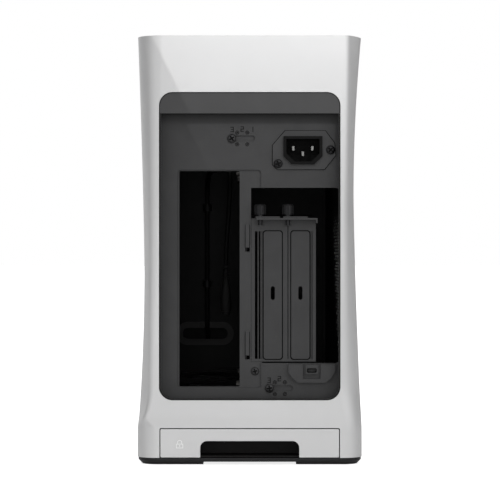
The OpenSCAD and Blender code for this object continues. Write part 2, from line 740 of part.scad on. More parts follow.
module gate_latch() color(black) {
  mid = (gate_guide[0] + gate_guide[1]) / 2;
  y1 = frame_y - seat - 0.8 - seat;
  difference() {
    block([mid - latch_w / 2, y1 - 3.4, latch_z[0]], [mid + latch_w / 2, y1, latch_z[1]]);
    block([mid - latch_w / 2 + 1.2, y1 - 5, latch_z[0] + 1.6], [mid + latch_w / 2 - 1.2, y1 - 1.4,
      latch_z[0] + 4.2]);
  }
  block([gate_guide[0] + 0.35, y1 - 1.2, latch_z[0] + 0.6], [gate_guide[1] - 0.35, y1, latch_z[1] - 0.6]);
}

panel_z0 = shell_z0 + 0.3;
panel_z1 = panel_z0 + drawer_h;
panel_y0 = half_d - front_t;
shelf_low = 8;
shelf_half = drawer_w / 2 - 3.2;
board_t = 1.6;
board_top = shelf_low + sheet_t + seat + board_t;
usb_x = [-4, 18];
usbc_x = 38;
jack_x = -20;
button_x = drawer_w / 2 - 9.2;
port_z = board_top + 3.2;
usb_half = 2.7;
button_z = 16.6;
button_r = 5;
module front_panel() color(silver) {
  difference() {
    sheet_xz(panel_y0, front_t) round_rect([-drawer_w / 2, panel_z0], [drawer_w / 2, panel_z1], 1);
    sheet_xz(panel_y0 - eps, front_t + 2 * eps) {
      for (x = usb_x) translate([x - 6.6, port_z - usb_half - 0.2]) square([13.2, 2 * usb_half + 0.4]);
      capsule(usbc_x - 3, usbc_x + 3, port_z - 1.4, 1.7);
      translate([jack_x, port_z]) circle(2.6);
      translate([button_x, button_z]) circle(button_r + 0.15);
    }
  }
  block([-shelf_half, front_y + seat, shelf_low], [shelf_half, panel_y0 + seat, shelf_low + sheet_t]);
}

module port_board() color([0.05, 0.18, 0.1])
  block([-48, front_y + seat, board_top - board_t], [48, panel_y0 - 0.6, board_top]);

module usb_ports() color(metal) {
  for (x = usb_x) difference() {
    block([x - 6.4, panel_y0 - 8, port_z - usb_half], [x + 6.4, half_d - 0.3, port_z + usb_half]);
    block([x - 5.8, panel_y0 - 6, port_z - usb_half + 0.6], [x + 5.8, half_d + eps, port_z + usb_half - 0.6]);
  }
  difference() {
    block([usbc_x - 4.4, panel_y0 - 7, board_top + 0.1], [usbc_x + 4.4, panel_y0 - 0.1, board_top + 3.5]);
    sheet_xz(panel_y0 - 6, 8) capsule(usbc_x - 3, usbc_x + 3, port_z - 1.4, 1.2);
  }
}

module audio_jack() color(black) difference() {
  union() {
    block([jack_x - 3.4, front_y + 2, board_top + 0.1], [jack_x + 3.4, panel_y0 - 0.1, board_top + 6.6]);
    bar_y(jack_x, port_z, panel_y0 - 0.5, half_d - 0.3, 2.5);
  }
  bar_y(jack_x, port_z, panel_y0 - 7, half_d + eps, 1.75);
}

module power_button() color(grey) {
  bar_y(button_x, button_z, panel_y0 - 1.4, half_d - 0.2, button_r);
  bar_y(button_x, button_z, panel_y0 - 2.6, panel_y0 - 0.2, button_r + 1);
}

// A tube of even sides that follows a list of points
module tube(points, r, sides) {
  last = len(points) - 1;
  rings = [for (k = [0 : last])
    let(t = points[min(k + 1, last)] - points[max(k - 1, 0)], u = t / norm(t),
      a = cross(u, [1, 0, 0]), v = a / norm(a), w = cross(u, v))
    [for (i = [0 : sides - 1]) points[k] + r * (cos(360 * i / sides) * v + sin(360 * i / sides) * w)]];
  loft(rings);
}

module front_lead() color(black) tube(lead_points, lead_d / 2, lead_sides);

module front_lead_relief() color(black) {
  translate([lead_x, lead_exit[1], board_top + 0.1]) cylinder(h = lead_exit[2] - board_top - 0.1, r = 3);
}

module front_lead_plug() color(black) {
  translate([-19.7, 0, plug_top - plug_l]) {
    block([-plug_w / 2, -3.4, 0], [plug_w / 2, 3.4, plug_l - 3]);
    block([-plug_w / 2 + 0.8, -2.6, plug_l - 3], [plug_w / 2 - 0.8, 2.6, plug_l]);
    for (i = [0 : 3]) translate([0, 0, plug_l + i * 2]) cylinder(h = 1.2, r = 3);
    translate([0, 0, plug_l - eps]) cylinder(h = relief_l + eps, r = 2.4);
  }
}

drawer_z0 = shell_z0 + 0.3;
drawer_z1 = drawer_z0 + drawer_h;
pull_x = pull_w / 2;
drawer_x = chassis_x - sheet_t - rail_side - 2 * seat - 0.4;
frame_z0 = rail_z0 + rail_t + seat;
drawer_frame_h = 9;
drawer_bar = 8;
module pull_outline(grow) {
  round_rect([-pull_x - grow, drawer_z0 - 10], [pull_x + grow, drawer_z0 + pull_h + grow], pull_r);
}

module drawer_front() color(silver) difference() {
  sheet_xz(rear_y, front_t) round_rect([-drawer_w / 2, drawer_z0], [drawer_w / 2, drawer_z1], 0.8);
  sheet_xz(rear_y - eps, front_t + 2 * eps) pull_outline(0);
}

module drawer_pull() color(black) difference() {
  intersection() {
    sheet_xz(rear_y + front_t + seat, pull_d) pull_outline(1.4);
    block([-100, rear_y, drawer_z0], [100, 0, 60]);
  }
  intersection() {
    sheet_xz(rear_y, front_t + seat + pull_d - 1.4) pull_outline(0);
    block([-100, rear_y - eps, drawer_z0 + 1.2], [100, 0, 60]);
  }
}

module drawer_frame() color(black) difference() {
  block([-drawer_x, drawer_frame_y0, frame_z0], [drawer_x, drawer_frame_y0 + drawer_l,
    frame_z0 + drawer_frame_h]);
  block([-pull_x - 1.4 - seat, drawer_frame_y0 - eps, frame_z0 - eps],
    [pull_x + 1.4 + seat, drawer_frame_y0 + pull_d + seat, frame_z0 + drawer_frame_h + eps]);
  block([-drawer_x + drawer_bar, drawer_frame_y0 + pull_d + drawer_bar, frame_z0 - eps],
    [drawer_x - drawer_bar, drawer_frame_y0 + drawer_l - drawer_bar, frame_z0 + drawer_frame_h + eps]);
  block([-drawer_x + 2, drawer_frame_y0 + pull_d + 2, frame_z0 + drawer_frame_h - 2.4],
    [drawer_x - 2, drawer_frame_y0 + drawer_l - 2, frame_z0 + drawer_frame_h + eps]);
}

filter_t = 1;
filter_ribs = 4;
module filter_sheet() color(dark) {
  lo = [-drawer_x + 2 + seat, drawer_frame_y0 + pull_d + 2 + seat, frame_z0 + drawer_frame_h - 2.4 + seat];
  hi = [drawer_x - 2 - seat, drawer_frame_y0 + drawer_l - 2 - seat,
    frame_z0 + drawer_frame_h - 2.4 + seat + filter_t];
  block(lo, hi);
}

spine_wall_y1 = front_in - spine_room;
module spine_wall() color(dark) {
  difference() {
    block([spine_x, spine_in, spine_foot], [spine_x + sheet_t, spine_wall_y1, spine_top]);
    block([spine_x - eps, 24, 130], [spine_x + sheet_t + eps, 58, 206]);
    block([spine_x - eps, 70, 70], [spine_x + sheet_t + eps, 130, 180]);
    block([spine_x - eps, -130, 76], [spine_x + sheet_t + eps, -30, 196]);
    for (sy = [-1, 1]) for (sz = [-1, 1])
      bar_x(board_y + sy * board_hole_y / 2, board_z + sz * board_hole_z / 2, spine_x - eps,
        spine_x + sheet_t + eps, 1.8);
  }
}

board_y = spine_in + 12 + board_hole_y / 2;
module standoffs() color([0.7, 0.58, 0.3]) for (sy = [-1, 1]) for (sz = [-1, 1]) {
  y = board_y + sy * board_hole_y / 2;
  z = board_z + sz * board_hole_z / 2;
  difference() {
    union() {
      bar_x(y, z, spine_x - standoff_l, spine_x - 0.1, 2.9);
      bar_x(y, z, spine_x - 1, spine_x + sheet_t, 1.7);
    }
    bar_x(y, z, spine_x - standoff_l - eps, spine_x - 1, standoff_hole_r);
  }
}

module spine_rear_plate() color(grey) {
  difference() {
    sheet_xz(spine_y, sheet_t) {
      translate([spine_left, spine_z0]) square([chamber_x0 - spine_left, spine_z1 - spine_z0]);
      translate([chamber_x0 - eps, chamber_z1]) square([spine_right - chamber_x0 + eps,
        spine_z1 - chamber_z1]);
      translate([chamber_x0 - eps, spine_z0]) square([spine_right - chamber_x0 + eps,
        bracket_z0 - seat - spine_z0]);
      translate([chamber_x0 - eps, spine_z0]) square([ear_x - chamber_x0 + eps, ear_z1 - spine_z0]);
    }
    sheet_xz(spine_y - eps, sheet_t + 2 * eps) {
      round_rect([aperture_x1 - aperture_w, board_z - aperture_h / 2], [aperture_x1,
        board_z + aperture_h / 2], 1);
      for (p = [clamp_top, clamp_low]) translate(p) circle(clamp_shank_r + 0.1);
      for (b = bridge_z) translate([bridge_x[0], b[0]]) square([bridge_x[1] - bridge_x[0], b[1] - b[0]]);
      for (p = plate_screw_at) translate(p) circle(plate_screw_r + 0.1);
    }
  }
  for (b = bridge_z) {
    strip = [b[0] + 3, b[1] - 3];
    leg = 1;
    block([bridge_x[0] + 0.4, spine_y - bridge_t, strip[0]], [bridge_x[1] - 0.4,
      spine_y - bridge_t + 0.9, strip[1]]);
    block([bridge_x[0] + 0.4, spine_y - bridge_t, strip[0]], [bridge_x[1] - 0.4, spine_in, strip[0] + leg]);
    block([bridge_x[0] + 0.4, spine_y - bridge_t, strip[1] - leg], [bridge_x[1] - 0.4, spine_y + 0.6,
      b[1] + 0.4]);
  }
}

spine_foot = 51.2;
spine_rail_d = 12;
spine_rail_x = chassis_x / 2;
spine_rail_y = spine_wall_y1 - 9;
module spine_rail() color(dark) {
  top = spine_foot - slide_gap;
  for (y = [spine_rail_y, spine_rail_y + spine_rail_d])
    block([-spine_rail_x, y, deck_z + seat], [spine_rail_x, y + sheet_t, top]);
  block([-spine_rail_x, spine_rail_y, top - sheet_t], [spine_rail_x,
    spine_rail_y + spine_rail_d + sheet_t, top]);
}

cover_panel_w = cover_w - 1.6;
cover_t = 0.9;
cover_z1 = 171;
tab_t = 1;
flange_lip = 3.6;
thumb_off = 9.3;
thumb_y = spine_y - 4.6;
module slot_bracket() color(grey) difference() {
  union() {
    block([bracket_x0, spine_y, bracket_z0], [bracket_x1, spine_in, flange_z]);
    block([bracket_x0 + 3.7, spine_y - flange_reach, flange_z - sheet_t], [bracket_x1 + 1,
      spine_y + eps, flange_z]);
    block([bracket_x1, spine_y - flange_reach, flange_z - flange_lip], [bracket_x1 + 1, spine_y + eps,
      flange_z]);
  }
  sheet_xz(spine_y - eps, sheet_t + 2 * eps) {
    for (i = [0, 1]) translate([slot_x + i * slot_pitch, 0])
      round_rect([-cover_w / 2, cover_z0 - 0.8], [cover_w / 2, cover_z1 + 0.8], 2.4);
    translate([bracket_x0 + 2.6, cover_z0]) square([2, cover_z1 - cover_z0]);
    translate([bracket_x0 + 5.4, cover_z0]) square([slot_x - cover_w / 2 + 0.2 - bracket_x0 - 5.4,
      cover_z1 - cover_z0]);
    translate([slot_x + slot_pitch / 2 + 0.7, cover_z0]) square([0.7, cover_z1 - cover_z0 + 6]);
    translate([bracket_x1 - 3.8, cover_z0]) square([1.6, cover_z1 - cover_z0]);
  }
  for (i = [0, 1]) translate([slot_x + i * slot_pitch - thumb_off, thumb_y, flange_z - sheet_t - eps])
    cylinder(h = sheet_t + 2 * eps, r = thumb_r + run_gap);
}

module slot_cover(i) color(dark) translate([slot_x + i * slot_pitch, 0, 0]) {
  plate_y0 = spine_in + seat;
  tab_z0 = flange_z + seat;
  difference() {
    union() {
      block([-slot_pitch / 2 + 1, plate_y0, cover_z0 - 2], [slot_pitch / 2 - 1, plate_y0 + cover_t,
        tab_z0]);
      sheet_xz(spine_y - 0.6, plate_y0 - spine_y + 0.7)
        round_rect([-cover_panel_w / 2, cover_z0], [cover_panel_w / 2, cover_z1], 2);
      block([-thumb_off - 3.4, spine_y - flange_reach + 0.6, tab_z0], [slot_pitch / 2 - 1.6 - 3.4,
        plate_y0 + cover_t, tab_z0 + tab_t]);
    }
    sheet_xz(spine_y - 3, 6) {
      translate([-1.5, 122]) square([3, 7]);
      for (z = [122, 129]) translate([0, z]) circle(1.5);
    }
    sheet_xz(spine_y + 0.2, plate_y0 - spine_y + 3) round_rect([-cover_panel_w / 2 + 0.9, cover_z0 + 0.9],
      [cover_panel_w / 2 - 0.9, cover_z1 - 0.9], 1.2);
    translate([-thumb_off, thumb_y, tab_z0 - eps]) cylinder(h = tab_t + 2 * eps, r = thumb_r + 0.3);
  }
}

module thumbscrew(i) color(black) {
  translate([slot_x + i * slot_pitch - thumb_off, thumb_y, 0]) {
    z = flange_z + 2 * seat + tab_t;
    translate([0, 0, flange_z - sheet_t - 4]) cylinder(h = z - flange_z + sheet_t + 4 + 1, r = thumb_r);
    difference() {
      union() {
        translate([0, 0, z]) cylinder(h = 1.5, r = 2.6);
        translate([0, 0, z + 1.3]) cylinder(h = thumb_h - 2.3, d = thumb_d);
        translate([0, 0, z + thumb_h - 1]) cylinder(h = 1, d1 = thumb_d, d2 = thumb_d - 2);
      }
      for (a = [0 : 30 : 330]) rotate(a) translate([thumb_d / 2 + 0.2, 0,
        z + 1.4]) cylinder(h = thumb_h, r = 0.6, $fn = 8);
    }
  }
}

module spine_screws() color(grey) for (p = [clamp_top, clamp_low]) {
  bar_y(p[0], p[1], frame_y - seat - clamp_head_h, frame_y - seat, clamp_head_r);
  bar_y(p[0], p[1], frame_y - seat - 0.5, spine_in + 1, clamp_shank_r);
}

plate_screw_r = 3;
plate_screw_at = [[3.8, 67.8], [-7, 226]];
module plate_screws() color(grey) for (p = plate_screw_at)
  bar_y(p[0], p[1], spine_y + 0.05, spine_in + 0.6, plate_screw_r);

outer_shell();
rear_bezel();
lid_ledge();
top_lid();
lid_studs();
base_ring();
foot_pads();
deck();
deck_sides();
drawer_rails();
front_plate();
rear_frame();
top_frame();
frame_screws();
cable_grommet();
fan_frame(-fan_y);  // fan_frame_1
fan_frame(fan_y);  // fan_frame_2
fan_screws();
fan_rotor(-fan_y);  // fan_rotor_1
fan_rotor(fan_y);  // fan_rotor_2
psu_bracket();
cable_clips();
inlet_plate();
inlet_socket();
inlet_pins();
inlet_screws();
gate_housing();
gate_latch();
front_panel();
port_board();
usb_ports();
audio_jack();
power_button();
front_lead();
front_lead_relief();
front_lead_plug();
drawer_front();
drawer_pull();
drawer_frame();
filter_sheet();
spine_wall();
spine_rear_plate();
spine_rail();
slot_bracket();
slot_cover(0);  // slot_cover_1
slot_cover(1);  // slot_cover_2
standoffs();
spine_screws();
plate_screws();
thumbscrew(0);  // thumbscrew_1
thumbscrew(1);  // thumbscrew_2
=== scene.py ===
import math

import bmesh
import bpy
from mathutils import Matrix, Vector


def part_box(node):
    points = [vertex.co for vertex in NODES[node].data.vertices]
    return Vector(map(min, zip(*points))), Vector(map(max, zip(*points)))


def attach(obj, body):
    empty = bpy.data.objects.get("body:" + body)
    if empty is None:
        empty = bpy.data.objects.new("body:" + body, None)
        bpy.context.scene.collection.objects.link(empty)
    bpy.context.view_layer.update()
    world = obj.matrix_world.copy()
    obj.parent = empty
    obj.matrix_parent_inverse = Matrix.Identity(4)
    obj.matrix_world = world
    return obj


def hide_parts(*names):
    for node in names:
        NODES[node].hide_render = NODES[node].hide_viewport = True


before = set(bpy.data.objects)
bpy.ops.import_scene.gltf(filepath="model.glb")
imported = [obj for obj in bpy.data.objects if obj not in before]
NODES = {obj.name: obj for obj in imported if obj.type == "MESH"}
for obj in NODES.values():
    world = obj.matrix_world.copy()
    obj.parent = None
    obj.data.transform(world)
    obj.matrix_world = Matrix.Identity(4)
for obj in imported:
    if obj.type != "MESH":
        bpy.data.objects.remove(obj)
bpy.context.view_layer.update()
MM = 0.001

# Sizes of the case in millimetres: overall ones from the frame, the others as in the solid model
LOW, HIGH = (Vector(corner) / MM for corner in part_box("outer_shell"))
HALF_W = HIGH.x
HALF_D = HIGH.y
CASE_H = HIGH.z
SHELL_Z0 = LOW.z
BAND_H = 27
SHOULDER_H = 33
WALL = 2.8
SHEET_T = 1.2
REAR_Y = -HALF_D
PLATE_Y = REAR_Y + 12
FRAME_IN = PLATE_Y + SHEET_T
SPINE_Y = FRAME_IN + 0.3
SPINE_IN = SPINE_Y + SHEET_T


def mm(x, y, z):
    return (x * MM, y * MM, z * MM)


def link_object(name, data):
    """Puts a mesh, a curve, a lamp or a camera into the scene."""
    new_object = bpy.data.objects.new(name, data)
    bpy.context.scene.collection.objects.link(new_object)
    return new_object


# Materials: a colour with blotches, a roughness that varies a little and a fine bump
NOISE_DETAIL = 3.0
RAMP_START, RAMP_END = 0.35, 0.65
ROUGH_SPREAD = 0.05
BUMP_DISTANCE = 0.0001


def new_material(name, color, rough, metallic=0.0, specular=0.5):
    material = bpy.data.materials.new(name)
    material.use_nodes = True
    shader = material.node_tree.nodes["Principled BSDF"]
    shader.inputs["Base Color"].default_value = (*color, 1)
    shader.inputs["Roughness"].default_value = rough
    shader.inputs["Metallic"].default_value = metallic
    shader.inputs["Specular IOR Level"].default_value = specular
    return material, shader


def noise(tree, scale):
    """A noise texture in object space, in metres."""
    place = tree.nodes.new("ShaderNodeTexCoord")
    texture = tree.nodes.new("ShaderNodeTexNoise")
    texture.inputs["Scale"].default_value = scale
    texture.inputs["Detail"].default_value = NOISE_DETAIL
    tree.links.new(place.outputs["Object"], texture.inputs["Vector"])
    return texture.outputs["Fac"]


def ramp(tree, source, low, high):
    """Maps a texture onto a range of colours."""
    node = tree.nodes.new("ShaderNodeValToRGB")
    first, last = node.color_ramp.elements
    first.position, last.position = RAMP_START, RAMP_END
    first.color, last.color = (*low, 1), (*high, 1)
    tree.links.new(source, node.inputs["Fac"])
    return node.outputs["Color"]


def finish_of(name, color, rough, metallic=0.0, specular=0.5, spread=0.05, color_scale=60,
              bump_scale=2500, bump=0.15):
    material, shader = new_material(name, color, rough, metallic, specular)
    tree = material.node_tree
    low = tuple(c * (1 - spread) for c in color)
    high = tuple(min(1, c * (1 + spread)) for c in color)
    blotches = ramp(tree, noise(tree, color_scale), low, high)
    tree.links.new(blotches, shader.inputs["Base Color"])
    fine = noise(tree, bump_scale)
    polish = ramp(tree, fine, [rough - ROUGH_SPREAD] * 3, [rough + ROUGH_SPREAD] * 3)
    tree.links.new(polish, shader.inputs["Roughness"])
    node = tree.nodes.new("ShaderNodeBump")
    node.inputs["Strength"].default_value = bump
    node.inputs["Distance"].default_value = BUMP_DISTANCE
    tree.links.new(fine, node.inputs["Height"])
    tree.links.new(node.outputs["Normal"], shader.inputs["Normal"])
    return material


def darken(material, light_z, dark_z, share):
    """Darkens a colour between two heights, for the shade under an edge."""
    tree = material.node_tree
    shader = tree.nodes["Principled BSDF"]
    source = shader.inputs["Base Color"].links[0].from_socket
    place = tree.nodes.new("ShaderNodeTexCoord")
    split = tree.nodes.new("ShaderNodeSeparateXYZ")
    amount = tree.nodes.new("ShaderNodeMapRange")
    amount.inputs["From Min"].default_value = light_z * MM
    amount.inputs["From Max"].default_value = dark_z * MM
    amount.inputs["To Min"].default_value = 1
    amount.inputs["To Max"].default_value = share
    shade = tree.nodes.new("ShaderNodeVectorMath")
    shade.operation = "SCALE"
    tree.links.new(place.outputs["Object"], split.inputs["Vector"])
    tree.links.new(split.outputs["Z"], amount.inputs["Value"])
    tree.links.new(source, shade.inputs[0])
    tree.links.new(amount.outputs["Result"], shade.inputs["Scale"])
    tree.links.new(shade.outputs["Vector"], shader.inputs["Base Color"])


POWDER = {"specular": 0.35, "spread": 0.06, "bump_scale": 1800, "bump": 0.3}
SATIN = {"specular": 0.35, "spread": 0.04, "bump_scale": 2600, "bump": 0.2}
MOULDED = {"spread": 0.1, "bump_scale": 2200, "bump": 0.25}
SHEATH = {"bump_scale": 1500, "bump": 0.3}
ZINC = {"metallic": 0.6, "bump_scale": 3000, "bump": 0.2}

SILVER = finish_of("anodised_silver", (0.66, 0.66, 0.662), 0.4, metallic=0.4, spread=0.012,
                   color_scale=25, bump_scale=3500, bump=0.10)
LINING = finish_of("dark_lining", (0.014, 0.014, 0.015), 0.7, specular=0.3)
PLATE = finish_of("powder_coat", (0.043, 0.043, 0.044), 0.55, **POWDER)
SPINE = finish_of("powder_coat_spine", (0.045, 0.045, 0.046), 0.55, **POWDER)
COVER = finish_of("cover_black", (0.045, 0.045, 0.046), 0.5, specular=0.3, spread=0.06,
                  bump_scale=1800, bump=0.3)
INNER = finish_of("inner_black", (0.016, 0.016, 0.017), 0.6, specular=0.3, bump_scale=1800,
                  bump=0.3)
BEZEL = finish_of("bezel_satin", (0.052, 0.052, 0.053), 0.45, **SATIN)
# A copy of the bezel's satin finish that carries painted shade below the flush band
SHADED_BEZEL = finish_of("rear_bezel_satin_painted_shade", (0.052, 0.052, 0.053), 0.45, **SATIN)
PLASTIC = finish_of("black_plastic", (0.010, 0.010, 0.011), 0.42, specular=0.25, **MOULDED)
PULL = finish_of("pull_plastic", (0.006, 0.005, 0.005), 0.5, specular=0.15, **MOULDED)
BASE = finish_of("base_plastic", (0.009, 0.009, 0.010), 0.4, specular=0.3, **MOULDED)
SOCKET = finish_of("socket_plastic", (0.005, 0.005, 0.005), 0.6, specular=0.1, **MOULDED)
RUBBER = finish_of("black_rubber", (0.010, 0.010, 0.010), 0.75, specular=0.3, spread=0.15,
                   bump_scale=900, bump=0.4)
GROMMET = finish_of("grommet_rubber", (0.045, 0.045, 0.046), 0.6, spread=0.1, bump_scale=900,
                    bump=0.3)
SCREW = finish_of("black_zinc", (0.012, 0.012, 0.013), 0.35, **ZINC)
CLAMP = finish_of("dull_zinc", (0.036, 0.036, 0.037), 0.38, **ZINC)
PLATED = finish_of("plated_steel", (0.50, 0.50, 0.49), 0.3, metallic=1.0)
PINS = finish_of("pin_steel", (0.20, 0.20, 0.195), 0.35, metallic=0.8)
BRASS = finish_of("dark_nickel", (0.06, 0.058, 0.055), 0.35, metallic=0.9)
BLADE = finish_of("fan_blade", (0.014, 0.014, 0.015), 0.4, specular=0.3, bump_scale=2000, bump=0.2)
BOARD = finish_of("solder_mask", (0.012, 0.06, 0.028), 0.35, spread=0.2, color_scale=300,
                  bump_scale=1500, bump=0.3)
JACKET = finish_of("cable_jacket", (0.004, 0.004, 0.004), 0.6, specular=0.2, **SHEATH)
PLUG = finish_of("plug_plastic", (0.008, 0.008, 0.008), 0.55, specular=0.25, **SHEATH)
# Near-black material for painted shadow in the joints and in the screws' cross recesses
PAINTED_SHADOW = finish_of("joint_shadow", (0.004, 0.004, 0.004), 0.7, specular=0.1, bump=0.1)
# Dark print for the digits; the same colour serves as painted shade in the rings round the dots
PRINT_AND_SHADE = finish_of("dark_print_and_shade", (0.010, 0.010, 0.010), 0.6, specular=0.2, bump=0.1)
PALE_PRINT = finish_of("pale_print", (0.92, 0.92, 0.92), 0.5, bump=0.1)

# Painted shade under the flush band: the bezel's colour is darkened below the band, and the rear
# plate's colour darkens upwards to the band
BAND_EDGE_Z = 257
darken(SHADED_BEZEL, BAND_EDGE_Z + 0.2, BAND_EDGE_Z - 0.2, 0.15)
darken(PLATE, BAND_EDGE_Z - 8, BAND_EDGE_Z + 1, 0.25)


# Meshes
SMOOTH_ANGLE, ROUND_ANGLE, SHELL_ANGLE, NODE_ANGLE = 30, 35, 28, 25


def smooth_shade(mesh, angle):
    """Smooth shading, with sharp edges where the faces meet at more than the angle in degrees."""
    mesh.shade_smooth()
    mesh.set_sharp_from_angle(angle=math.radians(angle))


def mesh_object(name, vertices, faces, material):
    mesh = bpy.data.meshes.new(name)
    mesh.from_pydata(vertices, [], faces)
    mesh.validate()
    mesh.materials.append(material)
    return link_object(name, mesh)


def from_bmesh(name, bm, material, smooth_angle=SMOOTH_ANGLE):
    bmesh.ops.recalc_face_normals(bm, faces=bm.faces)
    mesh = bpy.data.meshes.new(name)
    bm.to_mesh(mesh)
    bm.free()
    mesh.materials.append(material)
    smooth_shade(mesh, smooth_angle)
    return link_object(name, mesh)


def cut(piece, cutters, keep_material=False):
    """Takes the cutters out of a piece; keep_material gives the cut faces the cutter's material."""
    for cutter in cutters:
        modifier = piece.modifiers.new("cut", "BOOLEAN")
        modifier.operation = "DIFFERENCE"
        modifier.solver = "EXACT"
        modifier.object = cutter
        if keep_material:
            modifier.material_mode = "TRANSFER"
    graph = bpy.context.evaluated_depsgraph_get()
    mesh = bpy.data.meshes.new_from_object(piece.evaluated_get(graph))
    piece.modifiers.clear()
    piece.data = mesh
    for cutter in cutters:
        bpy.data.objects.remove(cutter)


def lerp(a, b, t):
    return a + (b - a) * t


def clamp01(t):
    return max(0.0, min(1.0, t))


def smooth(t):
    u = clamp01(t)
    return u * u * (3 - 2 * u)


def circle(x, z, r, sides):
    """Points in X and Z round a centre."""
    angles = [math.tau * k / sides for k in range(sides)]
    return [(x + r * math.cos(angle), z + r * math.sin(angle)) for angle in angles]


def rounded_rect(x0, z0, x1, z1, r, steps=10):
    """Points in X and Z round a rectangle with rounded corners."""
    points = []
    for cx, cz, start in ((x1 - r, z1 - r, 0), (x0 + r, z1 - r, 90), (x0 + r, z0 + r, 180),
                          (x1 - r, z0 + r, 270)):
        for k in range(steps + 1):
            angle = math.radians(start + 90 * k / steps)
            points.append((cx + r * math.cos(angle), cz + r * math.sin(angle)))
    return points


def add_loop(bm, outline, y):
    """Vertices of an outline in X and Z, at a depth y."""
    return [bm.verts.new(mm(x, y, z)) for x, z in outline]


def join_loops(bm, loops):
    """Faces between each loop of vertices and the next; a loop of one vertex is a tip."""
    for a, b in zip(loops, loops[1:]):
        sides = max(len(a), len(b))
        for k in range(sides):
            m = (k + 1) % sides
            if len(a) == 1:
                bm.faces.new([a[0], b[k], b[m]])
            elif len(b) == 1:
                bm.faces.new([a[k], b[0], a[m]])
            else:
                bm.faces.new([a[k], b[k], b[m], a[m]])


def add_prism(bm, outline, y0, y1):
    """An outline in X and Z made solid from y0 to y1."""
    front, back = add_loop(bm, outline, y0), add_loop(bm, outline, y1)
    bm.faces.new(front)
    bm.faces.new(back[::-1])
    join_loops(bm, [front, back])


SAME_Y = 1e-9


def prism_y(name, outline, y0, y1, material, bevel=0.0):
    """A piece from one prism, with the edges of both ends bevelled."""
    bm = bmesh.new()
    add_prism(bm, outline, y0, y1)
    if bevel:
        bmesh.ops.recalc_face_normals(bm, faces=bm.faces)
        rims = [e for e in bm.edges if abs(e.verts[0].co.y - e.verts[1].co.y) < SAME_Y]
        bmesh.ops.bevel(bm, geom=rims, offset=bevel * MM, segments=2, affect="EDGES")
    return from_bmesh(name, bm, material)


# Outline of the shell, in the same words as the solid model. The side walls draw in at a waist. At
# each corner a soft arc blends with a crisp crease, from which the wall flares out to the side.
LEFT_WAIST, LEFT_WAIST_Z = 4.5, 142
RIGHT_WAIST, RIGHT_WAIST_Z = 5.6, 198
WAIST_SOFT, WAIST_FIRM = 1.4, 1.9
BAND_R, SOFT_R = 14, 19
LEFT_CREASE_FOOT, LEFT_CREASE_LOW, LEFT_CREASE_HIGH = 0.5, 9.5, 3.1
RIGHT_CREASE_LOW, RIGHT_CREASE_HIGH = 5.5, 10.5
LEFT_FOOT_CURVE, RIGHT_CREASE_CURVE, RIGHT_CRISP_CURVE = 2.6, 1.3, 0.8
LEFT_CRISP_SHARE = 0.25
CREASE_FILLET, FLARE_D = 3, 25
CORNER_STEPS = 22
FILLET_SHARE = 0.375


def half_width(z, depth, waist, below, above):
    """Half width at a height, for a side with this waist and these curves below and above it."""
    if z < BAND_H:
        return HALF_W
    if z < waist:
        return HALF_W - depth * (1 - ((waist - z) / (waist - BAND_H)) ** below)
    return HALF_W - depth * (1 - clamp01((z - waist) / (CASE_H - waist)) ** above)


def left_width(z):
    return half_width(z, LEFT_WAIST, LEFT_WAIST_Z, WAIST_FIRM, WAIST_SOFT)


def right_width(z):
    return half_width(z, RIGHT_WAIST, RIGHT_WAIST_Z, WAIST_SOFT, WAIST_FIRM)


def rise(z):
    """Share of the height above the shoulder."""
    return clamp01((z - BAND_H - SHOULDER_H) / (CASE_H - BAND_H - SHOULDER_H))


def left_crease(z):
    if z < BAND_H + SHOULDER_H:
        up = clamp01((z - BAND_H) / SHOULDER_H)
        return HALF_W - lerp(LEFT_CREASE_LOW, LEFT_CREASE_FOOT, (1 - up) ** LEFT_FOOT_CURVE)
    return HALF_W - lerp(LEFT_CREASE_LOW, LEFT_CREASE_HIGH, rise(z))


def left_crisp(z):
    if z < BAND_H + SHOULDER_H:
        return smooth((z - BAND_H) / (SHOULDER_H * LEFT_CRISP_SHARE))
    return 1 - rise(z)


def right_crease(z):
    up = (1 - rise(z)) ** RIGHT_CREASE_CURVE
    return HALF_W - lerp(RIGHT_CREASE_HIGH, RIGHT_CREASE_LOW, up)


def right_crisp(z):
    return rise(z) ** RIGHT_CRISP_CURVE


def soft_radius(z):
    return lerp(BAND_R, SOFT_R, smooth((z - BAND_H) / SHOULDER_H))


def corner(width, crease, radius, crisp, inset):
    """One corner from the end face round to the side, where both are positive."""
    w, d, c, r = width - inset, HALF_D - inset, crease - inset, radius - inset
    fillet_end = CREASE_FILLET / FLARE_D

    def flare(u):
        return c + (w - c) * math.sin(math.pi / 2 * u), d - FLARE_D * u

    points = []
    for i in range(CORNER_STEPS + 1):
        t = i / CORNER_STEPS
        angle = math.pi / 2 * t
        soft = (w - r + r * math.sin(angle), d - r + r * math.cos(angle))
        if t <= FILLET_SHARE:
            u = t / FILLET_SHARE
            x, y = flare(fillet_end)
            hard = ((1 - u) ** 2 * (c - CREASE_FILLET) + 2 * u * (1 - u) * c + u * u * x,
                    (1 - u * u) * d + u * u * y)
        else:
            hard = flare(lerp(fillet_end, 1, (t - FILLET_SHARE) / (1 - FILLET_SHARE)))
        points.append((lerp(soft[0], hard[0], crisp), lerp(soft[1], hard[1], crisp)))
    return points


# Perforation of the side walls: holes in every second cell of a grid
PERF_CELL = 2.8
PERF_R = 1.05
PERF_COLS = 104
PERF_ROWS = 46
PERF_Z0 = 58
PERF_Y0 = -PERF_COLS * PERF_CELL / 2
PERF_FADE = 10
FADE_COLUMN_STEP, FADE_ROW_STEP = 7, 13

# Heights of the shell's rings of points below and above the rows of the perforation
FOOT_RING_Z = 16
SHOULDER_SHARES = (0, 0.03, 0.06, 0.1, 0.14, 0.19, 0.25, 0.31, 0.38, 0.46, 0.54, 0.62, 0.71, 0.8,
                   0.88)
HEAD_RINGS = 26


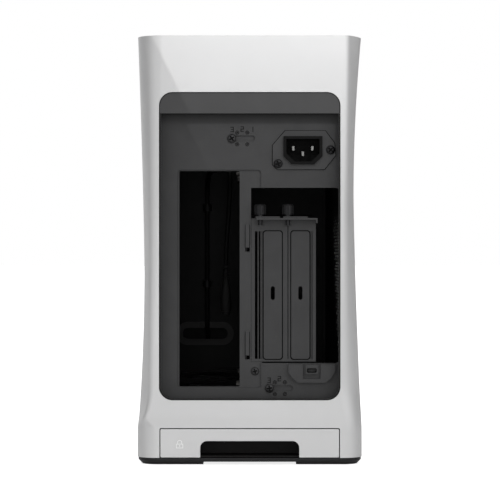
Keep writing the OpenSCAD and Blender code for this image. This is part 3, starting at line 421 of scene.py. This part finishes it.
def ring(z, inset):
    """Points round the shell at one height, with one per column of the perforation on each side."""
    right = corner(right_width(z), right_crease(z), soft_radius(z), right_crisp(z), inset)
    left = corner(left_width(z), left_crease(z), soft_radius(z), left_crisp(z), inset)
    stations = [PERF_Y0 + i * PERF_CELL for i in range(PERF_COLS + 1)]
    points = list(right)
    points += [(right_width(z) - inset, y) for y in reversed(stations)]
    points += [(x, -y) for x, y in reversed(right)]
    points += [(-x, -y) for x, y in left]
    points += [(-(left_width(z) - inset), y) for y in stations]
    points += [(-x, y) for x, y in reversed(left)]
    return points


def shell_levels():
    low = [SHELL_Z0, FOOT_RING_Z]
    shoulder = [BAND_H + SHOULDER_H * share for share in SHOULDER_SHARES]
    holes = [PERF_Z0 + i * PERF_CELL for i in range(PERF_ROWS + 1)]
    top = PERF_Z0 + PERF_ROWS * PERF_CELL
    head = [lerp(top, CASE_H, (i + 1) / HEAD_RINGS) for i in range(HEAD_RINGS)]
    return low + shoulder + holes + head


def hole_here(column, row):
    """Every second cell has a hole, and the pattern thins out towards its edges."""
    if (column + row) % 2:
        return False
    edge = min(column, PERF_COLS - 1 - column, row, PERF_ROWS - 1 - row)
    thinning = (column * FADE_COLUMN_STEP + row * FADE_ROW_STEP) % (PERF_FADE + 2)
    return edge > PERF_FADE or thinning <= edge


def build_shell():
    levels = shell_levels()
    rows_start = levels.index(PERF_Z0)
    skins = [[[mm(x, y, z) for x, y in ring(z, inset)] for z in levels] for inset in (0, WALL)]
    n = len(skins[0][0])
    vertices = [v for skin in skins for r in skin for v in r]
    faces = []
    inner_from = len(levels) * n
    first_right = CORNER_STEPS + 1
    first_left = first_right + PERF_COLS + 1 + 2 * (CORNER_STEPS + 1)
    inner_faces = set()

    def index(skin, level, i):
        return skin * inner_from + level * n + i % n

    def cell(skin, level, i):
        return [index(skin, level, i), index(skin, level, i + 1), index(skin, level + 1, i + 1),
                index(skin, level + 1, i)]

    def add(face, inner):
        if inner:
            inner_faces.add(len(faces))
        faces.append(face)

    def quad(skin, level, i):
        corners = cell(skin, level, i)
        add(corners if skin else corners[::-1], skin == 1)

    def octagon(skin, level, i):
        """Eight points of a hole in the middle of a cell, on the wall's surface."""
        a, b, c, d = (Vector(vertices[k]) for k in cell(skin, level, i))
        share = PERF_R / PERF_CELL
        start = len(vertices)
        for k in range(8):
            angle = math.radians(22.5 + 45 * k)
            u = 0.5 - share * math.cos(angle)
            v = 0.5 - share * math.sin(angle)
            vertices.append(tuple(a.lerp(b, u).lerp(d.lerp(c, u), v)))
        return list(range(start, start + 8))

    def holed_cell(level, i):
        """A cell of both skins with a hole in each, and the wall of the hole between them."""
        rims = []
        for skin in (0, 1):
            corners = cell(skin, level, i)
            rim = octagon(skin, level, i)
            rims.append(rim)
            for k in range(4):
                face = [corners[k], rim[2 * k], rim[2 * k + 1]]
                side = [corners[k], rim[2 * k + 1], rim[(2 * k + 2) % 8], corners[(k + 1) % 4]]
                add(face[::-1] if skin else face, skin == 1)
                add(side[::-1] if skin else side, skin == 1)
        for k in range(8):
            m = (k + 1) % 8
            add([rims[0][k], rims[1][k], rims[1][m], rims[0][m]], False)

    for level in range(len(levels) - 1):
        row = level - rows_start
        for i in range(n):
            on_right = first_right <= i < first_right + PERF_COLS
            on_left = first_left <= i < first_left + PERF_COLS
            column = i - first_right if on_right else i - first_left
            if 0 <= row < PERF_ROWS and (on_right or on_left) and hole_here(column, row):
                holed_cell(level, i)
            else:
                quad(0, level, i)
                quad(1, level, i)
    last = len(levels) - 1
    for i in range(n):
        add([index(0, last, i), index(0, last, i + 1), index(1, last, i + 1), index(1, last, i)],
            False)
        add([index(0, 0, i + 1), index(0, 0, i), index(1, 0, i), index(1, 0, i + 1)], False)

    shell = mesh_object("shell_body", vertices, faces, SILVER)
    shell.data.materials.append(LINING)
    for k, polygon in enumerate(shell.data.polygons):
        polygon.material_index = 1 if k in inner_faces else 0
    bm = bmesh.new()
    bm.from_mesh(shell.data)
    bmesh.ops.recalc_face_normals(bm, faces=bm.faces)
    bm.to_mesh(shell.data)
    bm.free()
    cut(shell, shell_cutters())
    smooth_shade(shell.data, SHELL_ANGLE)
    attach(shell, "shell")
    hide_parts("outer_shell")


# The rear opening, and the cut-outs at the foot of both ends
OPENING_X, OPENING_Z0, OPENING_Z1, OPENING_R = 66.3, 47.4, 272.6, 9.9
CUTOUT_X, CUTOUT_Z1, CUTOUT_R = 65.95, 27.15, 1.2
CUT_OUTSIDE, CUT_INSIDE = 5, 1


def shell_cutters():
    rear = (REAR_Y - CUT_OUTSIDE, REAR_Y + WALL + CUT_INSIDE)
    front = (HALF_D - WALL - CUT_INSIDE, HALF_D + CUT_OUTSIDE)
    opening = rounded_rect(-OPENING_X, OPENING_Z0, OPENING_X, OPENING_Z1, OPENING_R)
    foot = rounded_rect(-CUTOUT_X, SHELL_Z0 - CUT_OUTSIDE, CUTOUT_X, CUTOUT_Z1, CUTOUT_R, 4)
    return [prism_y("cut_rear", opening, *rear, SILVER), prism_y("cut_foot", foot, *rear, SILVER),
            prism_y("cut_foot", foot, *front, SILVER)]


# Camera in metres: level, behind the case, at half its height
CAMERA_X = 0.0002
CAMERA_DISTANCE = 1.5
CAMERA_Z = 0.1572
LENS, SENSOR_W = 147.9, 36
CLIP_END = 20


def build_camera():
    data = bpy.data.cameras.new("camera")
    data.lens = LENS
    data.sensor_width = SENSOR_W
    data.clip_end = CLIP_END
    camera = link_object("camera", data)
    camera.location = (CAMERA_X, REAR_Y * MM - CAMERA_DISTANCE, CAMERA_Z)
    camera.rotation_euler = (math.radians(90), 0, 0)
    bpy.context.scene.camera = camera


# The front panel lead, in millimetres, along the same points as its solid
LEAD_POINTS = [
    (-38, 176, 20), (-38, 176, 30), (-38, 176, 44), (-38, 176, 58), (-38, 176, 70),
    (-38, 175, 75.5), (-38, 172.5, 79.5), (-38, 168.5, 82), (-38, 164, 83), (-38, 159.5, 84),
    (-38, 156, 87), (-38, 154.2, 92), (-38, 154, 98), (-38, 154, 112), (-38, 154, 130),
    (-38, 154, 150), (-38, 154, 170), (-38, 154, 190), (-38, 154, 204), (-37.8, 152.5, 212),
    (-37.2, 148, 219), (-36, 141, 224), (-34, 131, 226.5), (-31.6, 118, 226.6),
    (-28.8, 103, 226.2), (-26, 88, 226.4), (-23.2, 73, 227.4), (-20.6, 57, 228.3),
    (-18.6, 42, 228.3), (-17.2, 29, 228.3), (-16.6, 19, 227.5), (-16.3, 10, 223.8),
    (-16.2, 3.6, 217.5), (-16.3, 0.8, 209), (-16.8, 0, 198), (-17.6, 0, 184), (-18.6, 0, 170),
    (-19.4, 0, 157), (-19.7, 0, 145)]
LEAD_D = 4
LEAD_ROUND_STEPS, LEAD_SPAN_STEPS = 5, 4


def build_lead():
    curve = bpy.data.curves.new("panel_lead", "CURVE")
    curve.dimensions = "3D"
    curve.bevel_depth = LEAD_D / 2 * MM
    curve.bevel_resolution = LEAD_ROUND_STEPS
    curve.resolution_u = LEAD_SPAN_STEPS
    curve.use_fill_caps = True
    spline = curve.splines.new("BEZIER")
    spline.bezier_points.add(len(LEAD_POINTS) - 1)
    for point, place in zip(spline.bezier_points, LEAD_POINTS):
        point.co = mm(*place)
        point.handle_left_type = "AUTO"
        point.handle_right_type = "AUTO"
    lead = link_object("panel_lead", curve)
    curve.materials.append(JACKET)
    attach(lead, "chassis")
    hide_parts("front_lead")
    build_plug()


# The plug's sections as height, half width and half depth, and the ribs of its strain relief
PLUG_X = LEAD_POINTS[-1][0]
PLUG_SECTIONS = ((104, 3.3, 2.3), (106.8, 3.3, 2.3), (106.9, 4.1, 2.9), (108.5, 4.6, 3.2),
                 (113, 4.75, 3.35), (118, 4.6, 3.25), (123, 4.0, 2.9), (128, 3.2, 2.5),
                 (132, 2.6, 2.3), (133, 2.0, 2.0))
RIBS, RIB_Z0, RIB_PITCH = 5, 134, 2.1
RIB_SECTIONS = ((-0.4, 2.0), (0, 2.75), (0.9, 2.75), (1.2, 2.0))
PLUG_SIDES = 32
PLUG_POWER = 2 / 2.8


def build_plug():
    """The plug of the panel lead: a tapered body with a ribbed strain relief."""
    sections = list(PLUG_SECTIONS)
    for rib in range(RIBS):
        sections += [(RIB_Z0 + rib * RIB_PITCH + up, r, r) for up, r in RIB_SECTIONS]
    outline = [(math.copysign(abs(x) ** PLUG_POWER, x), math.copysign(abs(y) ** PLUG_POWER, y))
               for x, y in circle(0, 0, 1, PLUG_SIDES)]
    bm = bmesh.new()
    loops = [[bm.verts.new(mm(PLUG_X + wide * x, deep * y, z)) for x, y in outline]
             for z, wide, deep in sections]
    join_loops(bm, loops)
    bm.faces.new(loops[0])
    bm.faces.new(loops[-1])
    piece = from_bmesh("lead_plug", bm, PLUG, ROUND_ANGLE)
    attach(piece, "chassis")
    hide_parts("front_lead_plug")
    return piece


# Marks on the rear frame: generic digits for the three spine positions, each as strokes between
# points of a unit box, and as digit, X and Z for its places
DIGIT_H, DIGIT_W, STROKE = 3.3, 1.9, 0.6
MARK_Y0, MARK_Y1 = PLATE_Y - 0.08, PLATE_Y + 0.02
SEGMENTS = {
    "1": [((1, 0), (1, 1))],
    "2": [((0, 1), (1, 1)), ((1, 1), (1, 0.5)), ((1, 0.5), (0, 0.5)), ((0, 0.5), (0, 0)),
          ((0, 0), (1, 0))],
    "3": [((0, 1), (1, 1)), ((1, 1), (1, 0)), ((0.2, 0.5), (1, 0.5)), ((0, 0), (1, 0))],
}
MARKS = {"top_mark": (("3", -13, 245.9), ("2", -5.5, 246.2), ("1", 1.4, 246)),
         "low_mark": (("3", 14.2, 61.4), ("2", 21.8, 62.5))}


def rectangle(x0, z0, x1, z1):
    return [(x0, z0), (x1, z0), (x1, z1), (x0, z1)]


def build_digit(name, digit, x, z):
    bm = bmesh.new()
    half = STROKE / 2
    for (x0, z0), (x1, z1) in SEGMENTS[digit]:
        outline = rectangle(x + (min(x0, x1) - 0.5) * DIGIT_W - half,
                            z + (min(z0, z1) - 0.5) * DIGIT_H - half,
                            x + (max(x0, x1) - 0.5) * DIGIT_W + half,
                            z + (max(z0, z1) - 0.5) * DIGIT_H + half)
        add_prism(bm, outline, MARK_Y0, MARK_Y1)
    return from_bmesh(name, bm, PRINT_AND_SHADE)


def build_marks():
    for name, digits in MARKS.items():
        for digit, x, z in digits:
            piece = build_digit(f"{name}_{digit}", digit, x, z)
            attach(piece, "chassis")


# Screws with a pan head and a cross recess. The head's profile is in shares of its radius and
# height, from its front face back, and the recess in shares of its radius.
SCREW_SIDES = 40
HEAD_PROFILE = ((0, 0), (0.5, 0.04), (0.8, 0.22), (0.95, 0.5), (1, 0.75), (1, 1))
CROSS_REACH, CROSS_W, CROSS_D = 0.64, 0.34, 0.9
SCREW_GAP = 0.2
HEAD_R, INLET_HEAD_H, CLAMP_HEAD_H = 3.3, 1.6, 1.8
INLET_SHANK_R, CLAMP_SHANK_R, CLAMP_PAST = 1.5, 1.9, 1
FLUSH_R, FLUSH_FRONT, FLUSH_BACK, FLUSH_PAST = 2.9, 0.05, 0.7, 0.6
INLET_X, INLET_Z = 39.1, 230.5
INLET_SCREWS = ((INLET_X - 18.2, INLET_Z - 9.8), (INLET_X + 20.4, INLET_Z + 0.3))
CLAMP_TOP, CLAMP_LOW = (-13.2, 239.3), (14.5, 55.5)
PLATE_SCREWS = ((3.8, 67.8), (-7, 226))


def add_screw(bm, x, z, back, front, radius, shank, shank_end):
    """A pan head from its front face to its back, with its shank, on an axis along Y."""
    profile = [(radius * r, front + (back - front) * y) for r, y in HEAD_PROFILE]
    profile += [(shank, back), (shank, shank_end), (0, shank_end)]
    join_loops(bm, [add_loop(bm, circle(x, z, r, SCREW_SIDES) if r else [(x, z)], y)
                    for r, y in profile])


def cross_outline(x, z, reach, width, turn):
    outline = []
    half = width / 2
    for k in range(4):
        angle = math.radians(90 * k + turn)
        c, s = math.cos(angle), math.sin(angle)
        for px, pz in ((half, half), (reach, half), (reach, -half)):
            outline.append((x + px * c + pz * s, z + px * s - pz * c))
    return outline


def build_screws(name, node, places, turns, back, front, radius, shank, shank_end, body,
                 material):
    bm = bmesh.new()
    for x, z in places:
        add_screw(bm, x, z, back, front, radius, shank, shank_end)
    piece = from_bmesh(name, bm, material, ROUND_ANGLE)
    cutters = []
    # The recesses' cut faces take the near-black painted shadow material, for painted shade inside
    # the cross
    for k, ((x, z), turn) in enumerate(zip(places, turns)):
        outline = cross_outline(x, z, radius * CROSS_REACH, radius * CROSS_W, turn)
        cutters.append(prism_y(f"cut_{name}_{k}", outline, front - CUT_INSIDE,
                               front + CROSS_D, PAINTED_SHADOW))
    cut(piece, cutters, keep_material=True)
    smooth_shade(piece.data, ROUND_ANGLE)
    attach(piece, body)
    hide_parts(node)


def build_all_screws():
    on_frame = PLATE_Y - SCREW_GAP
    on_inlet = on_frame - SCREW_GAP - SHEET_T
    build_screws("inlet_screw_heads", "inlet_screws", INLET_SCREWS, turns=(20, 50),
                 back=on_inlet, front=on_inlet - INLET_HEAD_H, radius=HEAD_R,
                 shank=INLET_SHANK_R, shank_end=FRAME_IN, body="chassis",
                 material=SCREW)
    build_screws("clamp_screw_heads", "spine_screws", (CLAMP_TOP, CLAMP_LOW), turns=(35, 10),
                 back=on_frame, front=on_frame - CLAMP_HEAD_H, radius=HEAD_R,
                 shank=CLAMP_SHANK_R, shank_end=SPINE_IN + CLAMP_PAST, body="spine",
                 material=CLAMP)
    build_screws("plate_screw_heads", "plate_screws", PLATE_SCREWS, turns=(15, 60),
                 back=SPINE_Y + FLUSH_BACK, front=SPINE_Y + FLUSH_FRONT, radius=FLUSH_R,
                 shank=FLUSH_R, shank_end=SPINE_IN + FLUSH_PAST, body="spine",
                 material=CLAMP)


# Thin rings round the four dots at each clamp screw, coloured near black as painted shade round
# each dot, with their profile as radius and depth
RING_SIDES = 24
RING_OUT, RING_IN = 1.5, 1.0
RING_PROFILE = ((RING_OUT, 0.02), (RING_OUT, -0.05), (RING_OUT - 0.12, -0.14),
                (RING_IN + 0.1, -0.14), (RING_IN, -0.05), (RING_IN, 0.02))
DOT_PITCH, DOT_RISE, DOT_SHIFT = 7.45, 4.3, 0.53


def build_rings():
    bm = bmesh.new()
    for x0, z0 in (CLAMP_TOP, CLAMP_LOW):
        for i in (0, 1):
            for side in (-1, 1):
                x, z = x0 + (i + DOT_SHIFT) * DOT_PITCH, z0 + side * DOT_RISE
                loops = [add_loop(bm, circle(x, z, r, RING_SIDES), PLATE_Y + y)
                         for r, y in RING_PROFILE]
                join_loops(bm, loops + loops[:1])
    piece = from_bmesh("dot_ring_shade", bm, PRINT_AND_SHADE)
    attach(piece, "chassis")


# Painted shadow in the joints: near-black frames put in the gaps round the opening, the inlet plate
# and the slot covers and at the finger hole's edge, for the shade there. Each one's outer and inner
# outline are distances from the part's edge, and its front and back depths from the part's face.
# The cover's distances come with a corner radius, and the finger hole's outlines are given as half
# width, half height and corner radius. The inlet plate's outline is taken from the middle of the
# inlet.
OPENING_EDGES, OPENING_DEPTHS = (0.1, 0.6), (-0.02, 0.3)
PLATE_OUTLINE = ((-22.2, 3.8), (-13, 14.4), (16.4, 14.4), (23.1, 5.6), (24.1, -3.6), (15.8, -14),
                 (-18.6, -14), (-22.2, -10.4))
PLATE_EDGES, PLATE_DEPTHS = (0.55, 0.05), (-0.06, 0.02)
COVER_X, COVER_Z0, COVER_Z1, COVER_HALF_W = (17, 37.32), 77, 171, 6.7
COVER_EDGES, COVER_DEPTHS = ((0.75, 2.35), (0.05, 2.05)), (0.1, SHEET_T + 0.05)
GRIP_Z = 68.75
GRIP_OUTLINES, GRIP_DEPTHS = ((3.6, 1.65, 1), (2.7, 0.85, 0.6)), (-0.04, 0.02)


def build_ring(name, outlines, face, depths, body):
    """A thin near-black frame of painted shadow between an outer and an inner outline with as many
    points each.
    """
    outer, inner = outlines
    front, back = (face + depth for depth in depths)
    bm = bmesh.new()
    loops = [add_loop(bm, outline, y)
             for outline, y in ((outer, back), (outer, front), (inner, front), (inner, back))]
    join_loops(bm, loops + loops[:1])
    piece = from_bmesh(name, bm, PAINTED_SHADOW)
    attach(piece, body)


def build_joint_shadows():
    """Painted shadow in the joints round the opening, the inlet plate and the slot covers, and at
    the finger hole's edge.
    """
    low, high = (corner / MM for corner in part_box("gate_latch"))
    latch_x = (low.x + high.x) / 2

    def opening(inset):
        return rounded_rect(-OPENING_X + inset, OPENING_Z0 + inset, OPENING_X - inset,
                            OPENING_Z1 - inset, OPENING_R - inset)

    def inlet_plate(grown):
        return [(INLET_X + x * (1 + grown / math.hypot(x, z)),
                 INLET_Z + z * (1 + grown / math.hypot(x, z))) for x, z in PLATE_OUTLINE]

    def grip(half_w, half_h, radius):
        return rounded_rect(latch_x - half_w, GRIP_Z - half_h, latch_x + half_w, GRIP_Z + half_h,
                            radius, 4)

    def cover(x, grown, radius):
        return rounded_rect(x - COVER_HALF_W - grown, COVER_Z0 - grown, x + COVER_HALF_W + grown,
                            COVER_Z1 + grown, radius)

    build_ring("bezel_seam_shadow", [opening(d) for d in OPENING_EDGES], REAR_Y, OPENING_DEPTHS, "shell")
    build_ring("inlet_seam_shadow", [inlet_plate(d) for d in PLATE_EDGES], PLATE_Y, PLATE_DEPTHS,
               "chassis")
    build_ring("latch_grip_edge_shadow", [grip(*sizes) for sizes in GRIP_OUTLINES], low.y, GRIP_DEPTHS,
               "latch")
    for k, x in enumerate(COVER_X):
        build_ring(f"cover_seam_shadow_{k + 1}", [cover(x, *edge) for edge in COVER_EDGES], SPINE_Y,
                   COVER_DEPTHS, "spine")


# Blades of the mains inlet, from the middle of the inlet
BLADE_PLACES = ((-7, 1.5), (0, -2.5), (7, 1.5))
BLADE_HALF_W, BLADE_DOWN, BLADE_UP, BLADE_R, BLADE_BEVEL = 0.8, 1.5, 1.7, 0.3, 0.25


def build_pins():
    low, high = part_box("inlet_pins")
    for k, (dx, dz) in enumerate(BLADE_PLACES):
        x, z = INLET_X + dx, INLET_Z + dz
        outline = rounded_rect(x - BLADE_HALF_W, z - BLADE_DOWN, x + BLADE_HALF_W, z + BLADE_UP,
                               BLADE_R, 3)
        blade = prism_y(f"inlet_blade_{k + 1}", outline, low.y / MM, high.y / MM, PINS,
                        BLADE_BEVEL)
        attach(blade, "chassis")
    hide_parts("inlet_pins")


# Padlock pictogram on the drawer front: a frame with a keyhole, and a shackle with two legs
LOCK_X, LOCK_Z = -51.2, 15.3
LOCK_HALF_W, LOCK_DOWN, LOCK_UP, LOCK_LINE = 2.6, 2.9, 0.4, 0.5
KEY_HALF_W, KEY_LOW, KEY_HIGH = 0.35, 1.8, 0.6
SHACKLE_IN, SHACKLE_OUT, SHACKLE_LEG = 1.25, 1.75, 1
SHACKLE_STEPS = 10
LOCK_Y0, LOCK_Y1 = REAR_Y - 0.05, REAR_Y + 0.02


def build_padlock():
    bm = bmesh.new()

    def strip(x0, z0, x1, z1):
        add_prism(bm, rectangle(x0, z0, x1, z1), LOCK_Y0, LOCK_Y1)

    line = LOCK_LINE
    x0, z0 = LOCK_X - LOCK_HALF_W, LOCK_Z - LOCK_DOWN
    x1, z1 = LOCK_X + LOCK_HALF_W, LOCK_Z + LOCK_UP
    strip(x0, z0, x1, z0 + line)
    strip(x0, z1 - line, x1, z1)
    strip(x0, z0 + line, x0 + line, z1 - line)
    strip(x1 - line, z0 + line, x1, z1 - line)
    strip(LOCK_X - KEY_HALF_W, LOCK_Z - KEY_LOW, LOCK_X + KEY_HALF_W, LOCK_Z - KEY_HIGH)
    bow_z = z1 + SHACKLE_LEG
    for k in range(SHACKLE_STEPS):
        a, b = (math.pi * i / SHACKLE_STEPS for i in (k, k + 1))
        corners = ((SHACKLE_IN, a), (SHACKLE_OUT, a), (SHACKLE_OUT, b), (SHACKLE_IN, b))
        outline = [(LOCK_X + r * math.cos(g), bow_z + r * math.sin(g)) for r, g in corners]
        add_prism(bm, outline, LOCK_Y0, LOCK_Y1)
    strip(LOCK_X - SHACKLE_OUT, z1, LOCK_X - SHACKLE_IN, bow_z)
    strip(LOCK_X + SHACKLE_IN, z1, LOCK_X + SHACKLE_OUT, bow_z)
    piece = from_bmesh("padlock_mark", bm, PALE_PRINT)
    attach(piece, "drawer")


# Materials of the solids that show as they are
NODE_FINISHES = {
    "rear_bezel": SHADED_BEZEL, "lid_ledge": INNER, "top_lid": BEZEL, "lid_studs": PLATED,
    "base_ring": BASE, "foot_pads": RUBBER, "deck": INNER, "deck_sides": INNER,
    "drawer_rails": PLASTIC, "front_plate": INNER, "rear_frame": PLATE, "top_frame": INNER,
    "frame_screws": SCREW, "cable_grommet": GROMMET, "fan_frame_1": PLASTIC,
    "fan_frame_2": PLASTIC, "fan_screws": SCREW, "fan_rotor_1": BLADE, "fan_rotor_2": BLADE,
    "psu_bracket": INNER, "cable_clips": PLASTIC, "inlet_plate": PLATE, "inlet_socket": SOCKET,
    "gate_housing": SPINE, "gate_latch": PLATE, "front_panel": SILVER, "port_board": BOARD,
    "usb_ports": PLATED, "audio_jack": PLASTIC, "power_button": BEZEL,
    "front_lead_relief": JACKET, "drawer_front": SILVER, "drawer_pull": PULL,
    "drawer_frame": PLASTIC, "filter_sheet": RUBBER, "spine_wall": INNER,
    "spine_rear_plate": SPINE, "spine_rail": INNER, "slot_bracket": SPINE,
    "slot_cover_1": COVER, "slot_cover_2": COVER, "standoffs": BRASS, "thumbscrew_1": SCREW,
    "thumbscrew_2": SCREW}


def finish_nodes():
    for name, material in NODE_FINISHES.items():
        mesh = NODES[name].data
        mesh.materials.clear()
        mesh.materials.append(material)
        smooth_shade(mesh, NODE_ANGLE)


# Light, in metres and watts


def aim(place, target):
    """The turn that points a lamp at its target."""
    return (Vector(target) - Vector(place)).to_track_quat("-Z", "Y")


def area_light(name, place, target, size, power):
    data = bpy.data.lights.new(name, "AREA")
    data.energy = power
    data.size = size
    light = link_object(name, data)
    light.location = place
    light.rotation_euler = aim(place, target).to_euler()


def build_light():
    area_light("key", place=(0.0, -2.4, 0.2), target=(0, -0.1, 0.1), size=0.4, power=2.3)
    area_light("top", place=(0, 0.2, 1.8), target=(0, 0, 0.2), size=1.2, power=4.5)
    build_head_light()
    build_world()


# A lamp that brightens the head of the case, cut off along a slant on the left and fading
# downwards. The two softnesses are half the edges' widths, as sines of an angle at the lamp.
HEAD_LAMP = Vector((0.35, -1.9, 1.25))
HEAD_TARGET = Vector((0, -0.183, 0.29))
HEAD_POWER, HEAD_CONE, HEAD_BLEND, HEAD_RADIUS = 56, 30, 0.3, 0.001
SLANT_TOP = Vector((-0.0716, -0.183, 0.3146))
SLANT_LOW = Vector((-0.0438, -0.183, 0.2576))
FADE_LEFT, FADE_RIGHT = Vector((-0.1, -0.183, 0.262)), Vector((0.1, -0.183, 0.262))
SLANT_SOFT, FADE_SOFT = 0.0006, 0.04


def build_head_light():
    data = bpy.data.lights.new("head", "SPOT")
    data.energy = HEAD_POWER
    data.shadow_soft_size = HEAD_RADIUS
    data.spot_size = math.radians(HEAD_CONE)
    data.spot_blend = HEAD_BLEND
    light = link_object("head", data)
    light.location = HEAD_LAMP
    turn = aim(HEAD_LAMP, HEAD_TARGET)
    light.rotation_euler = turn.to_euler()
    inward = turn.inverted()

    def edge_through(p, q):
        """Normal of the plane through the lamp and two points, on the side of the lit head."""
        normal = (inward @ (p - HEAD_LAMP)).cross(inward @ (q - HEAD_LAMP)).normalized()
        return normal if normal.dot(inward @ (HEAD_TARGET - HEAD_LAMP)) > 0 else -normal

    data.use_nodes = True
    tree = data.node_tree
    place = tree.nodes.new("ShaderNodeTexCoord")
    product = tree.nodes.new("ShaderNodeMath")
    product.operation = "MULTIPLY"
    edges = ((edge_through(SLANT_TOP, SLANT_LOW), SLANT_SOFT),
             (edge_through(FADE_LEFT, FADE_RIGHT), FADE_SOFT))
    for k, (edge, soft) in enumerate(edges):
        dot = tree.nodes.new("ShaderNodeVectorMath")
        dot.operation = "DOT_PRODUCT"
        dot.inputs[1].default_value = edge
        share = tree.nodes.new("ShaderNodeMapRange")
        share.interpolation_type = "SMOOTHSTEP"
        share.inputs["From Min"].default_value = -soft
        share.inputs["From Max"].default_value = soft
        tree.links.new(place.outputs["Normal"], dot.inputs[0])
        tree.links.new(dot.outputs["Value"], share.inputs["Value"])
        tree.links.new(share.outputs["Result"], product.inputs[k])
    tree.links.new(product.outputs["Value"], tree.nodes["Emission"].inputs["Strength"])


# Brightness of the surroundings, as share of a turn and level: from beyond the case, over the left
# of the picture, the camera and the right of the picture, and back
SURROUNDINGS = ((0.0, 0.85), (0.10, 0.85), (0.17, 0.27), (0.25, 0.06), (0.34, 0.58), (0.41, 1.2),
                (0.5, 0.42), (0.59, 1.85), (0.66, 0.95), (0.75, 0.05), (0.9, 0.16),
                (0.985, 0.25), (1.0, 0.85))


def build_world():
    world = bpy.data.worlds.new("world")
    bpy.context.scene.world = world
    world.use_nodes = True
    tree = world.node_tree
    background = tree.nodes["Background"]
    background.inputs["Color"].default_value = (1, 1, 1, 1)
    place = tree.nodes.new("ShaderNodeTexCoord")
    parts = tree.nodes.new("ShaderNodeSeparateXYZ")
    back = tree.nodes.new("ShaderNodeMath")
    back.operation = "MULTIPLY"
    back.inputs[1].default_value = -1
    turn = tree.nodes.new("ShaderNodeMath")
    turn.operation = "ARCTAN2"
    share = tree.nodes.new("ShaderNodeMath")
    share.operation = "MULTIPLY_ADD"
    share.inputs[1].default_value = 1 / math.tau
    share.inputs[2].default_value = 0.5
    levels = tree.nodes.new("ShaderNodeValToRGB")
    points = levels.color_ramp.elements
    while len(points) < len(SURROUNDINGS):
        points.new(0.5)
    for point, (position, level) in zip(points, SURROUNDINGS):
        point.position = position
        point.color = (level, level, level, 1)
    path = tree.nodes.new("ShaderNodeLightPath")
    mix = tree.nodes.new("ShaderNodeMix")
    mix.inputs["B"].default_value = 1.0
    tree.links.new(place.outputs["Generated"], parts.inputs["Vector"])
    tree.links.new(parts.outputs["X"], turn.inputs[0])
    tree.links.new(parts.outputs["Y"], back.inputs[0])
    tree.links.new(back.outputs["Value"], turn.inputs[1])
    tree.links.new(turn.outputs["Value"], share.inputs[0])
    tree.links.new(share.outputs["Value"], levels.inputs["Fac"])
    tree.links.new(levels.outputs["Color"], mix.inputs["A"])
    tree.links.new(path.outputs["Is Camera Ray"], mix.inputs["Factor"])
    tree.links.new(mix.outputs["Result"], background.inputs["Strength"])


# Floor
FLOOR_SIZE = 60
FLOOR_GLOW = 0.8
FLOOR_COLOR, FLOOR_ROUGH, FLOOR_SPECULAR = (0.9, 0.9, 0.9), 0.9, 0.1


def new_floor_material():
    """White to the camera apart from the case's soft shadow, and a plain pale surface to light."""
    material, shader = new_material("floor", FLOOR_COLOR, FLOOR_ROUGH, specular=FLOOR_SPECULAR)
    tree = material.node_tree
    path = tree.nodes.new("ShaderNodeLightPath")
    glow = tree.nodes.new("ShaderNodeEmission")
    add = tree.nodes.new("ShaderNodeAddShader")
    share = tree.nodes.new("ShaderNodeMath")
    share.operation = "MULTIPLY"
    share.inputs[1].default_value = FLOOR_GLOW
    tree.links.new(path.outputs["Is Camera Ray"], share.inputs[0])
    tree.links.new(share.outputs["Value"], glow.inputs["Strength"])
    tree.links.new(shader.outputs["BSDF"], add.inputs[0])
    tree.links.new(glow.outputs["Emission"], add.inputs[1])
    tree.links.new(add.outputs["Shader"], tree.nodes["Material Output"].inputs["Surface"])
    return material


def build_floor():
    half = FLOOR_SIZE / 2
    floor = mesh_object("floor", [(-half, -half, 0), (half, -half, 0), (half, half, 0),
                                  (-half, half, 0)], [(0, 1, 2, 3)], new_floor_material())


bpy.context.scene.view_settings.view_transform = "Standard"
build_camera()
build_lead()
finish_nodes()
build_shell()
build_marks()
build_all_screws()
build_rings()
build_padlock()
build_joint_shadows()
build_pins()
build_light()
build_floor()
